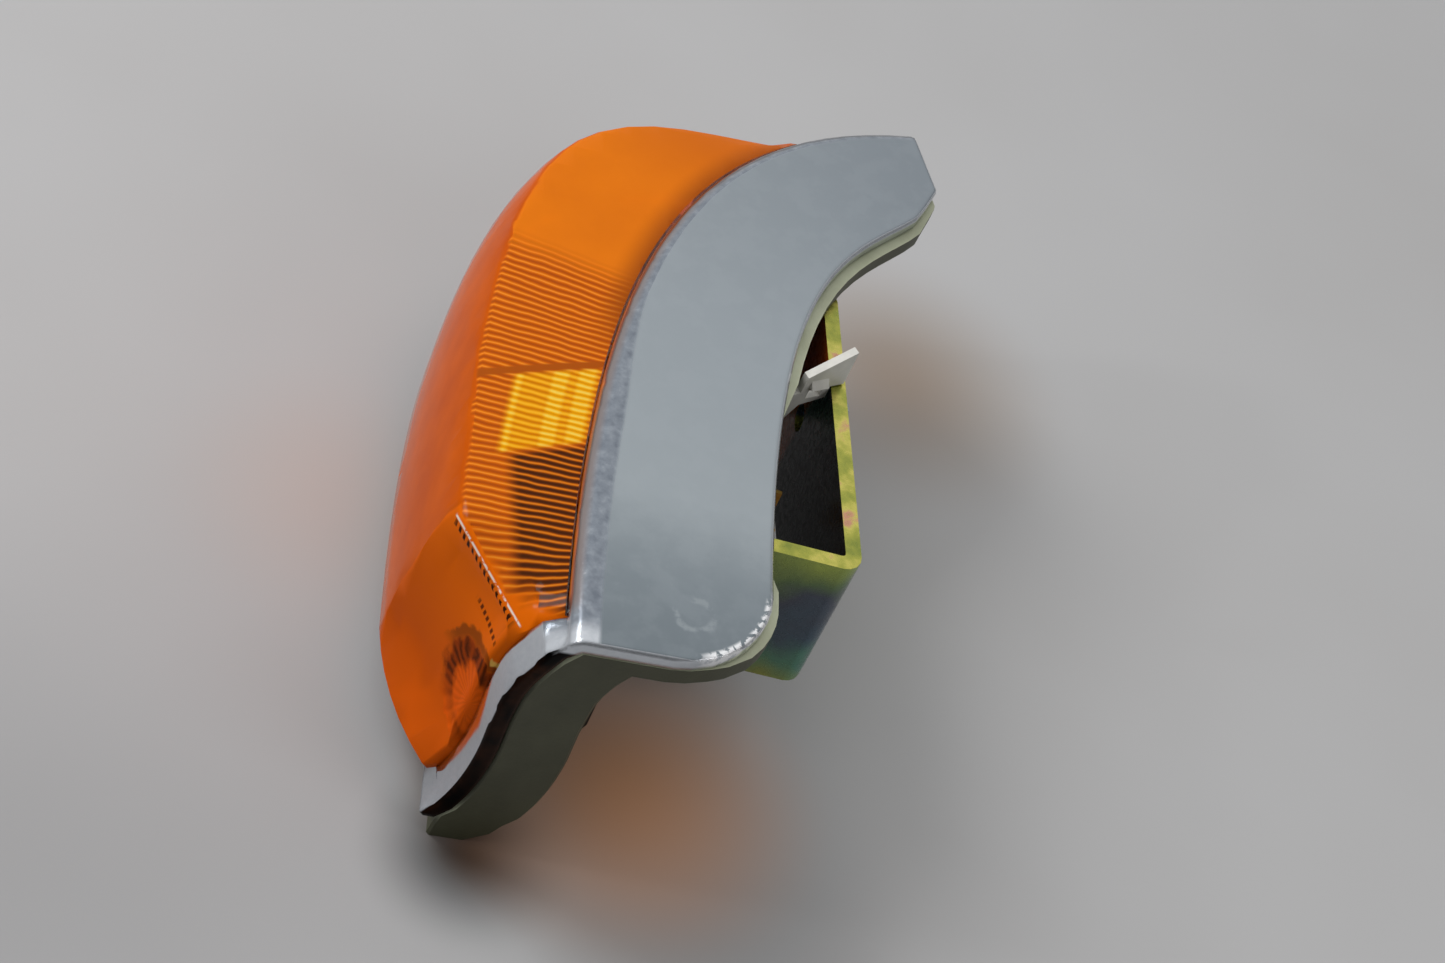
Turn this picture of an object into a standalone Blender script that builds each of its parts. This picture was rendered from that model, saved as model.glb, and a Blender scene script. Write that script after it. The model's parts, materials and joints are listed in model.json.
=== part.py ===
# Corner indicator lamp for the front of a vehicle: a ribbed amber lens in a chrome-plated cast bezel, on a
# rubber base gasket, with a tray, bulb, bulb holder and strap bracket behind. The lamp wraps round a corner:
# it starts at its near end at +X, runs towards -X and turns back towards +Y. Its front faces -Y.
#
# The origin lies on the gasket's seat, the flat underside of its flange, which rests on the vehicle's
# panel. Every cross-section of the lamp stands on the crease, the front edge of the bezel's top plate. A
# place in a section is given by how far forward of the crease it lies and by its drop below the top plate.

import math

import bmesh
import bpy
from mathutils import Matrix, Vector

# Stack under the top plate
PLATE_THICKNESS = 0.0026
FLANGE_THICKNESS = 0.0034
FIT = 0.0003  # clearance between two pieces that seat on each other
PLATE_TOP = PLATE_THICKNESS + FIT + FLANGE_THICKNESS

# Crease, seen from above: one smooth curve from the near end to the far tip
CREASE_NEAR = (0.0552, -0.0297)
CREASE_FAR = (-0.0938, 0.0420)
CREASE_HEADINGS = (2.7, 78.2)
CREASE_PULLS = (0.0782, 0.0545)
SQUARE_END = 0.025  # over this length the sections turn from square to the end to square to the crease

# Concave rear edge of the top plate
REAR_EDGE_Y = 0.0040
REAR_EDGE_FAR = (-0.0695, 0.0406)
REAR_EDGE_HEADINGS = (3.0, 42.0)
REAR_EDGE_PULLS = (0.0867, 0.0200)
NEAR_CORNER_RADIUS = 0.0190
FAR_TIP_REAR = (-0.0782, 0.0448)
EDGE_EASE = 0.0005  # the casting's small edge chamfer

# Upper and lower edges of the lens's front wall, seen from above
UPPER_END = (0.0487, -0.0380)
UPPER_CORNER = (0.0278, -0.0506)
UPPER_FAR = (-0.0880, 0.0163)
UPPER_HEADINGS = (2.4, 82.0)
UPPER_PULLS = (0.1293, 0.0355)
LOWER_END = (0.0496, -0.0438)
LOWER_CORNER = (0.0190, -0.0541)
LOWER_FAR = (-0.0905, 0.0145)
LOWER_HEADINGS = (1.2, 85.0)
LOWER_PULLS = (0.1255, 0.0380)
FACET_BULGE = 0.0022  # how far the near facet's lower edge swells out

# Heights down the lamp, as drops below the plate's top
LIP_DROP = 0.0024  # the bezel's lip ends here, at the lens's seam
SILL_DROP = 0.0485  # top of the bottom rail, under the lens
RAIL_HEIGHT = 0.0050
RAIL_DROP = SILL_DROP + 0.0019  # from here the rail sweeps forward
BEZEL_DROP = SILL_DROP + RAIL_HEIGHT
SEAL_WIDTH = 0.0032
TRAY_DROP = SILL_DROP + SEAL_WIDTH + FIT
GASKET_RAIL_DROP = TRAY_DROP + 0.0010  # top of the gasket's bottom rail, just below the tray
GASKET_RAIL_HEIGHT = 0.0060
GASKET_DROP = GASKET_RAIL_DROP + GASKET_RAIL_HEIGHT

# Face that the bezel, lens flange, seal and gasket follow, at the near end: forward of the crease against
# drop. Its side is given by shares of the way down to the sill.
FACE_TOP = ((0.0000, 0.0000), (0.0015, 0.0008), (0.0025, LIP_DROP), (0.0046, 0.0046))
FACE_SIDE = ((0.0068, 0.196), (0.0087, 0.309), (0.0092, 0.474), (0.0090, 0.680), (0.0096, 0.825),
             (0.0108, 0.948))
FACE_RAIL = ((0.0124, RAIL_DROP), (0.0148, BEZEL_DROP), (0.0152, GASKET_DROP))
SIDE_DROPS = [share * SILL_DROP for _, share in FACE_SIDE]
FACE = FACE_TOP + tuple((forward, share * SILL_DROP) for forward, share in FACE_SIDE) + FACE_RAIL
FULL_DROP = 0.0060  # above this drop the sections keep their full height all along
FAR_HEIGHT = 0.28  # share of the height below it that is left at the far tip
FAR_BULGE = 0.15  # share of the face's forward reach that is left at the far tip

# Bezel
BEZEL_WALL = 0.0030
GASKET_WALL = 0.0030
LENS_FLANGE_WIDTH = 0.0026
RIM_WIDTH = GASKET_WALL + LENS_FLANGE_WIDTH + 0.0012  # it hides the gasket's end wall and the lens's flange
RIM_RISE = 0.0015
FAR_RIM_WIDTH = 0.0260

# Lens
LENS_WALL = 0.0020
LENS_FLANGE = 0.0018
LENS_TOP_DROP = 0.0044
LENS_BOTTOM_DROP = SILL_DROP + 0.0015
LENS_ROUND = 0.0012
WALL_DROPS = [share * SILL_DROP for share in (0.25, 0.38, 0.51, 0.64, 0.76, 0.88)]
WALL_CURVE = 2.55  # how quickly the front wall turns down from its upper edge
LENS_END_FALL = 0.0040  # the ridge comes down by this to meet the near rim
LENS_PROUD = 0.0008  # how far the lens stands in front of the rim at its near end
LENS_REACH = 0.0030  # the lens's least reach in front of its seam
WALL_ROW = 6  # rows of points from the lens's rear edge to the first of its front wall
RIB_PITCH = 0.0015
RIB_HEIGHT = 0.0006
RIBS_FROM = 0.0100
RIBS_TO = 0.0940
RIBS_PER_SPAN = 2

# Seal, gasket and tray
SEAL_DEPTH = 0.0015
GASKET_DEPTH = 0.0120
GASKET_LEDGE = 0.0021  # how far the gasket stands out past the plate's rear edge
LEDGE_GAP = (0.0295, 0.0715)  # the ledge stops between these distances along the lamp
LEDGE_RISES = (0.0050, 0.0055, 0.0065)  # lengths over which it rises and falls
TRAY_REAR = 0.0140  # how far behind the crease the tray's rear wall lies
TRAY_WALL = 0.0015
TRAY_RAMP = 0.0260  # the tray gets shallower from here to its near end
TRAY_END_DEPTH = 0.0050

# Bulb and its holder, on one line square to the crease
BULB_ALONG = 0.0660
REFLECTOR_TOP_DROP = LENS_TOP_DROP + LENS_WALL + 0.0036
REFLECTOR_BOTTOM_DROP = SILL_DROP - 0.0085
BULB_DROP = (REFLECTOR_TOP_DROP + REFLECTOR_BOTTOM_DROP) / 2
GLASS_RADIUS = (REFLECTOR_BOTTOM_DROP - REFLECTOR_TOP_DROP) / 2 - 0.0025  # clear of the reflector
GLASS_FRONT = 0.0195
CAP_RADIUS = 0.0075
CAP_FRONT = 0.0065
CAP_LENGTH = 0.0150
SLEEVE_WALL = 0.0006
HOLDER_RADIUS = 0.0110
HOLDER_LENGTH = 0.0153
HOLDER_FLANGE_RADIUS = 0.0123
HOLDER_FLANGE = 0.0020
HOLDER_END = 0.0025
PAD_HEIGHT = 0.0010  # flat pad on the tray's curved rear wall, under the holder's flange
BLADE_WIDTH = 0.0063
BLADE_THICKNESS = 0.0008
BLADE_LENGTH = 0.0068
BLADE_SPREAD = 0.0050
TAB_THICKNESS = 0.0016
TAB_ROOT = (-0.0144, 0.0030)
TAB_TIP = (-0.0247, 0.0228)
TAB_TOP_RISE = 0.0022
TAB_WINDOW = (0.0143, 0.0176)  # from the tab's root
TAB_WINDOW_HEIGHT = 0.0028
TAB_WEB = 0.0008  # material left under the window
TAB_RAMP = 0.0011  # how far the lug above the window stands out
TAB_RAMP_HEIGHT = 0.0024
REFLECTOR_WIDTH = 0.0220
REFLECTOR_FRONT = 0.0070
REFLECTOR_SHEET = 0.0006

# Strap bracket
STRAP_THICKNESS = 0.0030
STRAP_TOP_DROP = 0.0066
STRAP_BOTTOM_DROP = 0.0396
STRAP_REAR_Y = 0.0237
STRAP_NEAR_X = 0.0225
STRAP_FAR_X = -0.0500
STRAP_LEG_SLOPE = 0.075
STRAP_BEND = 0.0006
STRAP_FOOT = 0.0098
CLAMP_NUT_X = -0.0300
CLAMP_BORE_RADIUS = 0.0026
CLAMP_NUT_WIDTH = 0.0100
CLAMP_NUT_HEIGHT = 0.0050

# Screws
SCREW_RADIUS = 0.0018
SCREW_HEAD_RADIUS = 0.0034
SCREW_HEAD = 0.0020
BOSS_RADIUS = 0.0045
BOSS_BORE = 0.0100
LENS_SCREWS_ALONG = (0.0310, 0.1210)
LENS_SCREW_DROP = 0.0270
LENS_SCREW_LENGTH = 0.0100
STRAP_SCREW_LENGTH = 0.0080
BEZEL_SCREW_LENGTH = 0.0090
PILLAR_RADIUS = 0.0035
PILLAR_DROP = 0.0120
PILLARS_ALONG = (0.0300, 0.1300)
PILLAR_BACK = 0.0185
EAR_WIDTH = 0.0090
EAR_THICKNESS = 0.0015
ROUND = 20  # sides of a small round piece


def clear_scene():
    for item in list(bpy.data.objects):
        bpy.data.objects.remove(item, do_unlink=True)


def finish(name, hex_colour, roughness, metallic=0.0, alpha=1.0):
    """A plain material: sRGB colour, roughness, metallic value and, for clear plastic, alpha."""
    material = bpy.data.materials.new(name)
    material.use_nodes = True
    shader = material.node_tree.nodes["Principled BSDF"]
    levels = [int(hex_colour[at:at + 2], 16) / 255 for at in (0, 2, 4)]
    linear = [v / 12.92 if v <= 0.04045 else ((v + 0.055) / 1.055) ** 2.4 for v in levels]
    shader.inputs["Base Color"].default_value = (*linear, 1.0)
    shader.inputs["Roughness"].default_value = roughness
    shader.inputs["Metallic"].default_value = metallic
    shader.inputs["Alpha"].default_value = alpha
    return material


# Plan curves

def smooth_line(near, far, headings, pulls, count=160):
    """Points of one cubic curve. A heading is in degrees from -X towards +Y."""
    ways = [Vector((-math.cos(math.radians(h)), math.sin(math.radians(h)))) for h in headings]
    start, end = Vector(near), Vector(far)
    after, before = start + ways[0] * pulls[0], end - ways[1] * pulls[1]
    points = []
    for step in range(count + 1):
        t = step / count
        u = 1 - t
        points.append(start * u ** 3 + after * 3 * u * u * t + before * 3 * u * t * t + end * t ** 3)
    return points


def lengths_along(points):
    total = [0.0]
    for a, b in zip(points, points[1:]):
        total.append(total[-1] + (b - a).length)
    return total


CREASE = smooth_line(CREASE_NEAR, CREASE_FAR, CREASE_HEADINGS, CREASE_PULLS)
CREASE_LENGTHS = lengths_along(CREASE)
LENGTH = CREASE_LENGTHS[-1]


def rear_edge():
    """The plate's near end, rounded near corner, concave rear edge and far tip, from above."""
    end_x = CREASE_NEAR[0] + EDGE_EASE / 10
    centre = Vector((end_x - NEAR_CORNER_RADIUS, REAR_EDGE_Y - NEAR_CORNER_RADIUS))
    line = [Vector((end_x, CREASE_NEAR[1]))]
    for step in range(25):
        turn = math.radians(90) * step / 24
        line.append(centre + Vector((math.cos(turn), math.sin(turn))) * NEAR_CORNER_RADIUS)
    line += smooth_line(line[-1], REAR_EDGE_FAR, REAR_EDGE_HEADINGS, REAR_EDGE_PULLS)
    tip = Vector(FAR_TIP_REAR)
    return line + [tip, tip + (tip - line[-1]) * 0.3]


def front_edge(end, corner, far, headings, pulls, bulge):
    """An edge of the lens's front wall: the slanted near facet, then one curve round to the far side."""
    start, turn = Vector(end), Vector(corner)
    slope = (start - turn).normalized()
    out = Vector((slope.y, -slope.x)) * bulge
    facet = [start.lerp(turn, n / 8) + out * (4 * n / 8 * (1 - n / 8)) for n in range(9)]
    return [start + slope * 0.01] + facet + smooth_line(corner, far, headings, pulls)[1:]


REAR_EDGE = rear_edge()
UPPER_EDGE = front_edge(UPPER_END, UPPER_CORNER, UPPER_FAR, UPPER_HEADINGS, UPPER_PULLS, 0.0)
LOWER_EDGE = front_edge(LOWER_END, LOWER_CORNER, LOWER_FAR, LOWER_HEADINGS, LOWER_PULLS, FACET_BULGE)


def reach(point, way, line):
    """How far a ray from the point goes before it meets the line."""
    best = None
    for a, b in zip(line, line[1:]):
        side = b - a
        across = way.x * side.y - way.y * side.x
        if abs(across) < 1e-12:
            continue
        gap = a - point
        far = (gap.x * side.y - gap.y * side.x) / across
        share = (gap.x * way.y - gap.y * way.x) / across
        if far > 0 and -1e-6 <= share <= 1 + 1e-6 and (best is None or far < best):
            best = far
    return best


def between(value, table):
    """Straight-line reading of a table of (result, key) pairs with rising keys."""
    for (low, low_key), (high, high_key) in zip(table, table[1:]):
        if value <= high_key:
            return low + (high - low) * (value - low_key) / (high_key - low_key)
    return table[-1][0]


def ease(share):
    share = min(1.0, max(0.0, share))
    return share * share * (3 - 2 * share)


class Section:
    """One upright cross-section of the lamp, at a distance along the crease from the near end."""

    def __init__(self, along):
        self.along = along
        last = len(CREASE) - 2
        at = next((n for n in range(last + 1) if along <= CREASE_LENGTHS[n + 1]), last)
        step = CREASE[at + 1] - CREASE[at]
        share = (along - CREASE_LENGTHS[at]) / step.length
        self.point = CREASE[at] + step * share
        heading = math.atan2(step.y, -step.x) * min(1.0, along / SQUARE_END)
        self.front = Vector((-math.sin(heading), -math.cos(heading)))
        self.side = Vector((-self.front.y, self.front.x))
        taper = ease((along / LENGTH - 0.45) / 0.55)
        self.height = 1 + (FAR_HEIGHT - 1) * taper
        self.bulge = 1 + (FAR_BULGE - 1) * taper

    def at(self, forward, drop, aside=0.0):
        place = self.point + self.front * forward + self.side * aside
        if drop > FULL_DROP:
            drop = FULL_DROP + (drop - FULL_DROP) * self.height
        return Vector((place.x, place.y, PLATE_TOP - drop))

    def face(self, drop):
        forward = between(drop, FACE)
        lip = FACE[2][0]
        return forward if drop <= LIP_DROP else lip + (forward - lip) * self.bulge

    def rim(self, drop):
        """The bezel's front surface: the face with the rounded rise of its rim."""
        if drop <= LIP_DROP:
            return self.face(drop)
        edge = min(self.along, (BEZEL_DROP - drop) * self.height, LENGTH - self.along)
        rise = RIM_RISE * math.sin(math.pi / 2 * min(1.0, edge / RIM_WIDTH))
        return self.face(drop) + rise * min(1.0, (drop - LIP_DROP) / (FACE[3][1] - LIP_DROP))

    def width(self):
        return reach(self.point, -self.front, REAR_EDGE)

    def turned(self):
        """The turn that takes +Z to the lamp's front in this section, and +X to its side."""
        front = Vector((self.front.x, self.front.y, 0))
        side = Vector((self.side.x, self.side.y, 0))
        return Matrix((side, front.cross(side), front)).transposed()


def steps(start, end, size):
    count = max(1, round(abs(end - start) / size))
    return [start + (end - start) * n / count for n in range(count + 1)]


# Meshes

def add_object(name, bm, material, smooth=35):
    bmesh.ops.recalc_face_normals(bm, faces=bm.faces)
    bmesh.ops.triangulate(bm, faces=bm.faces)
    mesh = bpy.data.meshes.new(name)
    bm.to_mesh(mesh)
    bm.free()
    mesh.shade_smooth()
    mesh.set_sharp_from_angle(angle=math.radians(smooth))
    item = bpy.data.objects.new(name, mesh)
    item.data.materials.append(material)
    bpy.context.collection.objects.link(item)
    return item


def blocks(grid, present, fine=None):
    """A closed mesh of the blocks that are present in a grid of points [along][down][through].

    fine(i, j) may give the points between grid points i and i + 1 of row j on the last layer."""
    bm = bmesh.new()
    corners, lines = {}, {}
    counts = (len(grid) - 1, len(grid[0]) - 1, len(grid[0][0]) - 1)

    def corner(i, j, k):
        if (i, j, k) not in corners:
            corners[i, j, k] = bm.verts.new(grid[i][j][k])
        return corners[i, j, k]

    def filled(i, j, k):
        inside = all(0 <= n < most for n, most in zip((i, j, k), counts))
        return inside and present(i, j, k)

    def row(i, j, k):
        if (i, j, k) not in lines:
            extra = fine(i, j) if fine and k == counts[2] else []
            lines[i, j, k] = [corner(i, j, k), *(bm.verts.new(p) for p in extra), corner(i + 1, j, k)]
        return lines[i, j, k]

    for i in range(counts[0]):
        for j in range(counts[1]):
            for k in range(counts[2]):
                if not filled(i, j, k):
                    continue
                for layer, beyond in ((k, k - 1), (k + 1, k + 1)):
                    if filled(i, j, beyond):
                        continue
                    top, bottom = row(i, j, layer), row(i, j + 1, layer)
                    if len(top) == len(bottom):
                        for n in range(len(top) - 1):
                            bm.faces.new((top[n], top[n + 1], bottom[n + 1], bottom[n]))
                    else:
                        bm.faces.new((*top, *reversed(bottom)))
                for edge, beyond in ((j, j - 1), (j + 1, j + 1)):
                    if not filled(i, beyond, k):
                        bm.faces.new((*row(i, edge, k), *reversed(row(i, edge, k + 1))))
                for end, beyond in ((i, i - 1), (i + 1, i + 1)):
                    if not filled(beyond, j, k):
                        bm.faces.new([corner(end, *at) for at in
                                      ((j, k), (j + 1, k), (j + 1, k + 1), (j, k + 1))])
    return bm


def lathe(profile, section, drop, sides=ROUND):
    """A turned piece: (radius, forward) points from one end of its axis to the other, in a section."""
    bm = bmesh.new()
    turn = section.turned()
    angles = [2 * math.pi * n / sides for n in range(sides)]
    rings = []
    for radius, forward in profile:
        centre = section.at(forward, drop)
        if radius == 0:
            rings.append([bm.verts.new(centre)])
            continue
        rings.append([bm.verts.new(centre + turn @ Vector((math.cos(a), math.sin(a), 0)) * radius)
                      for a in angles])
    closed = len(rings[0]) > 1
    pairs = list(zip(rings, rings[1:])) + ([(rings[-1], rings[0])] if closed else [])
    for a, b in pairs:
        for n in range(sides):
            ends = (a[n % len(a)], a[(n + 1) % len(a)], b[(n + 1) % len(b)], b[n % len(b)])
            bm.faces.new(list(dict.fromkeys(ends)))
    return bm


def prism(outline, way):
    """A flat outline of 3-D points pushed along a way."""
    bm = bmesh.new()
    low = [bm.verts.new(p) for p in outline]
    high = [bm.verts.new(p + way) for p in outline]
    bm.faces.new(low)
    bm.faces.new(list(reversed(high)))
    for n in range(len(low)):
        after = (n + 1) % len(low)
        bm.faces.new((low[n], high[n], high[after], low[after]))
    return bm


def slab(section, forward, drop, aside):
    """A straight block in a section, from pairs of limits."""
    corners = [section.at(forward[a], 0, aside[b]) for a, b in ((0, 0), (1, 0), (1, 1), (0, 1))]
    for corner in corners:
        corner.z -= drop[0]
    return prism(corners, Vector((0, 0, drop[0] - drop[1])))


def upright_round(centre, radius, bottom, top, sides=ROUND):
    ring = [Vector((centre.x + radius * math.cos(2 * math.pi * n / sides),
                    centre.y + radius * math.sin(2 * math.pi * n / sides), bottom)) for n in range(sides)]
    return prism(ring, Vector((0, 0, top - bottom)))


def combine(item, tool_mesh, operation):
    """Cuts the tool from the item, or joins it on."""
    tool = add_object(item.name + "_tool", tool_mesh, item.data.materials[0])
    tool.hide_render = True
    tool.display_type = "WIRE"
    change = item.modifiers.new(operation.title(), "BOOLEAN")
    change.operation = operation
    change.solver = "EXACT"
    change.object = tool
    return tool


# Cast and moulded shells

def bezel_stations():
    ends = [0.0, EDGE_EASE, 0.0018, 0.0034, 0.0050, RIM_WIDTH]
    corner = steps(RIM_WIDTH, NEAR_CORNER_RADIUS, 0.0030)[1:]
    middle = steps(NEAR_CORNER_RADIUS, LENGTH - FAR_RIM_WIDTH, 0.0062)[1:]
    tip = steps(LENGTH - FAR_RIM_WIDTH, LENGTH - EDGE_EASE, 0.0050)[1:]
    return [Section(s) for s in ends + corner + middle + tip + [LENGTH]]


def build_bezel():
    """The cast bezel: top plate, rolled lip, end rims and bottom rail round the lens's window."""
    stations = bezel_stations()
    drops = [FACE_TOP[3][1], *SIDE_DROPS, SILL_DROP, RAIL_DROP, BEZEL_DROP - EDGE_EASE, BEZEL_DROP]
    lip = ((-0.0006, 0.0), (0.0003, 0.0001), (0.0015, 0.0008), (0.0022, 0.0017), (0.0025, LIP_DROP))
    grid = []
    for section in stations:
        width = section.width()
        rows = [((-width, EDGE_EASE), (-width, PLATE_THICKNESS)),
                ((-width + EDGE_EASE, 0.0), (-width + EDGE_EASE, PLATE_THICKNESS)),
                ((-width / 2, 0.0), (-width / 2, PLATE_THICKNESS))]
        for n, outer in enumerate(lip):
            back = section.face(LIP_DROP) - BEZEL_WALL - (len(lip) - 1 - n) * 0.0002
            rows.append((outer, (back, PLATE_THICKNESS)))
        for drop in drops:
            front = section.rim(drop) - (EDGE_EASE if drop == BEZEL_DROP else 0.0)
            rows.append(((front, drop), (section.face(drop) - BEZEL_WALL, drop)))
        points = [[section.at(*front), section.at(*back)] for front, back in rows]
        if section.along in (0.0, LENGTH):
            for pair in points:
                pair[0] = pair[0] + (pair[1] - pair[0]).normalized() * EDGE_EASE
        grid.append(points)
    seam_row = 3 + len(lip) - 1
    sill_row = seam_row + 1 + drops.index(SILL_DROP)

    def present(i, j, k):
        a, b = stations[i].along, stations[i + 1].along
        in_window = a >= RIM_WIDTH - 1e-9 and b <= LENGTH - FAR_RIM_WIDTH + 1e-9
        return not (in_window and seam_row <= j < sill_row)

    bezel = add_object("bezel", blocks(grid, present), CHROME, 30)
    for along in PILLARS_ALONG:
        place = Section(along).at(-PILLAR_BACK, 0)
        pillar = upright_round(place, PILLAR_RADIUS, PLATE_TOP - PILLAR_DROP,
                               PLATE_TOP - PLATE_THICKNESS / 2)
        combine(bezel, pillar, "UNION")
        bore = upright_round(place, SCREW_RADIUS + FIT, PLATE_TOP - PILLAR_DROP - FIT,
                             PLATE_TOP - PLATE_THICKNESS - FIT)
        combine(bezel, bore, "DIFFERENCE")
    return bezel


def lower_along(along, corner_along, corner_below):
    """Where a section's lower edge stands: the facet's corner slants, so it is further along lower down."""
    start, end = RIM_WIDTH, corner_along + 0.06
    if along <= start or along >= end:
        return along
    shift = corner_below - corner_along
    share = (along - start) / (corner_along - start) if along < corner_along else (end - along) / 0.06
    return along + shift * share


def along_at_x(x, y):
    """The distance along the crease of the section that holds a plan point in front of it."""
    low, high = 0.0, LENGTH
    for _ in range(40):
        middle = (low + high) / 2
        section = Section(middle)
        aside = (Vector((x, y)) - section.point).dot(section.side)
        if aside > 0:
            high = middle
        else:
            low = middle
    return (low + high) / 2


def lens_rows(along, corner, corner_below):
    """Outer and inner points of the lens's wall, from its top to its bottom, at one station.

    The facet's corner slants, so each lower row stands on its own section. The fold goes from 0 at that
    corner to 1 at the near end, where the wall follows the rim."""
    section = Section(along)
    fold = end_fold(along, corner)

    def lowered(drop):
        turn = corner + (corner_below - corner) * min(1.0, drop / SILL_DROP)
        return Section(lower_along(along, corner, turn))

    below = lowered(SILL_DROP)
    upper = reach(section.point, section.front, UPPER_EDGE) or section.rim(SILL_DROP)
    lower = reach(below.point, below.front, LOWER_EDGE) or below.rim(SILL_DROP)
    seam = section.face(LIP_DROP) + FIT
    upper = max(upper, seam + LENS_REACH)
    sill = SILL_DROP - FIT / below.height
    sill_front = below.rim(SILL_DROP) + 2 * FIT
    lower = max(lower, sill_front + LENS_REACH * (1 - 0.7 * fold))
    hook = below.face(SILL_DROP) - BEZEL_WALL - FIT
    back = section.face(PLATE_THICKNESS + FIT) - BEZEL_WALL - FIT - LENS_FLANGE
    top, bottom, bend = LENS_TOP_DROP + LENS_END_FALL * fold, LENS_BOTTOM_DROP, LENS_ROUND
    under = PLATE_THICKNESS + FIT
    wall = LENS_WALL

    def behind_rail(drop):
        forward = below.face(drop) - BEZEL_WALL - FIT
        return (forward, drop), (forward - LENS_FLANGE, drop)

    def front_wall(drop):
        stand = lowered(drop)
        share = (drop - LENS_TOP_DROP - bend) / (bottom - LENS_TOP_DROP - 2 * bend)
        straight = upper + (lower - upper) * (1 - (1 - share) ** WALL_CURVE)
        front = straight + (stand.rim(drop) + LENS_PROUD - straight) * fold
        return stand.at(front, drop), stand.at(front - wall, drop)

    mid = (seam + upper) / 2
    high = [((back, under), (back, under + wall)),
            ((seam - 0.0005, under), (seam, under + wall)),
            ((seam + 0.0001, LIP_DROP + FIT / 3), (seam + 0.0006, under + wall)),
            ((mid, (LIP_DROP + top) / 2 + 0.0001), (mid, under + wall + 0.0006)),
            ((upper - bend, top), (upper - wall - bend / 2, top + wall)),
            ((upper, top + bend), (upper - wall, top + wall + bend))]
    low = [((lower, bottom - bend), (lower - wall, bottom - bend - wall)),
           ((lower - bend, bottom), (lower - wall - bend / 2, bottom - wall)),
           ((sill_front + 0.0008, sill + 0.0003), (sill_front - 0.0002, sill - wall)),
           ((sill_front, sill), (sill_front - 0.0006, sill - wall)),
           ((hook, sill), (hook - LENS_FLANGE, sill - wall)),
           behind_rail(RAIL_DROP), behind_rail(SILL_DROP + SEAL_WIDTH)]
    return ([(section.at(*front), section.at(*rear)) for front, rear in high]
            + [front_wall(drop) for drop in WALL_DROPS]
            + [(below.at(*front), below.at(*rear)) for front, rear in low])


def flange_rows(section):
    """The lens's flange behind a rim of the bezel: the same rows, pressed flat against the rim's back."""
    under, sill = PLATE_THICKNESS + FIT, SILL_DROP - FIT / section.height
    back = section.face(under) - BEZEL_WALL - FIT - LENS_FLANGE
    drops = [(under + 0.0003, under + 0.0022), (under + 0.0008, under + 0.0025),
             (under + 0.0013, under + 0.0029), (under + 0.0021, under + 0.0037),
             *zip(WALL_DROPS, WALL_DROPS), (sill - 0.0037, sill - 0.0041),
             (sill - 0.0027, sill - 0.0033), (sill - 0.0017, sill - 0.0027), (sill - 0.0007, sill - 0.0023),
             (sill, sill - LENS_WALL),
             (RAIL_DROP, RAIL_DROP), (SILL_DROP + SEAL_WIDTH, SILL_DROP + SEAL_WIDTH)]
    rows = [(section.at(back, under), section.at(back, under + LENS_WALL)),
            (section.at(back + LENS_FLANGE, under), section.at(back + 0.0011, under + LENS_WALL + 0.0001))]
    for front_drop, rear_drop in drops:
        front = section.face(front_drop) - BEZEL_WALL - FIT
        rear = section.face(rear_drop) - BEZEL_WALL - FIT - LENS_FLANGE
        rows.append((section.at(front, front_drop), section.at(rear, rear_drop)))
    return rows


def build_lens():
    """The amber moulding: ribbed top wall, plain front, slanted near facet, flange all round its back."""
    near, far = RIM_WIDTH + FIT, LENGTH - FAR_RIM_WIDTH - FIT
    corner = along_at_x(*UPPER_CORNER)
    corner_below = along_at_x(*LOWER_CORNER)
    span = RIB_PITCH * RIBS_PER_SPAN
    stations = [near + 0.0001, RIBS_FROM]
    while stations[-1] + span < corner - 0.0010:
        stations.append(stations[-1] + span)
    stations.append(corner)
    while stations[-1] + span < RIBS_TO:
        stations.append(stations[-1] + span)
    ribbed = (stations[1], stations[-1])
    stations += steps(stations[-1], far - 0.0001, 0.0040)[1:]
    rows = [lens_rows(s, corner, corner_below) for s in stations]
    flanges = [flange_rows(Section(s)) for s in
               (near - LENS_FLANGE_WIDTH, near, far, far + LENS_FLANGE_WIDTH)]
    grid = flanges[:2] + rows + flanges[2:]
    first, last = 2, len(rows)
    first_rib_row, last_rib_row = 2, 4

    def rib_points(i, j):
        """Points of a row across one span: every second one stands down, as the crest of a rib."""
        at = i - first
        if not (0 <= at < len(stations) - 1 and first_rib_row <= j <= last_rib_row):
            return []
        if stations[at] < ribbed[0] - 1e-9 or stations[at + 1] > ribbed[1] + 1e-9:
            return []
        ribs = max(1, round((stations[at + 1] - stations[at]) / RIB_PITCH))
        fade = min(1.0, (ribbed[1] - stations[at]) / 0.030)
        a, b = grid[i][j][1], grid[i + 1][j][1]
        points = []
        for n in range(1, 2 * ribs):
            down = RIB_HEIGHT * fade if n % 2 else 0.0
            points.append(a.lerp(b, n / (2 * ribs)) - Vector((0, 0, down)))
        return points

    lens = add_object("lens", blocks(grid, lambda i, j, k: True, rib_points), AMBER, 25)
    for along in LENS_SCREWS_ALONG:
        section = Section(along)
        tray_face = -TRAY_REAR + TRAY_WALL + FIT
        front = boss_front(along, corner, corner_below) - LENS_WALL * 0.7
        bore = SCREW_RADIUS + FIT
        boss = [(0, front), (BOSS_RADIUS / 3, front), (BOSS_RADIUS, front - 1.3 * BOSS_RADIUS),
                (BOSS_RADIUS, tray_face), (bore, tray_face), (bore, tray_face + BOSS_BORE),
                (0, tray_face + BOSS_BORE)]
        combine(lens, lathe(boss, section, LENS_SCREW_DROP), "UNION")
    return lens


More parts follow.
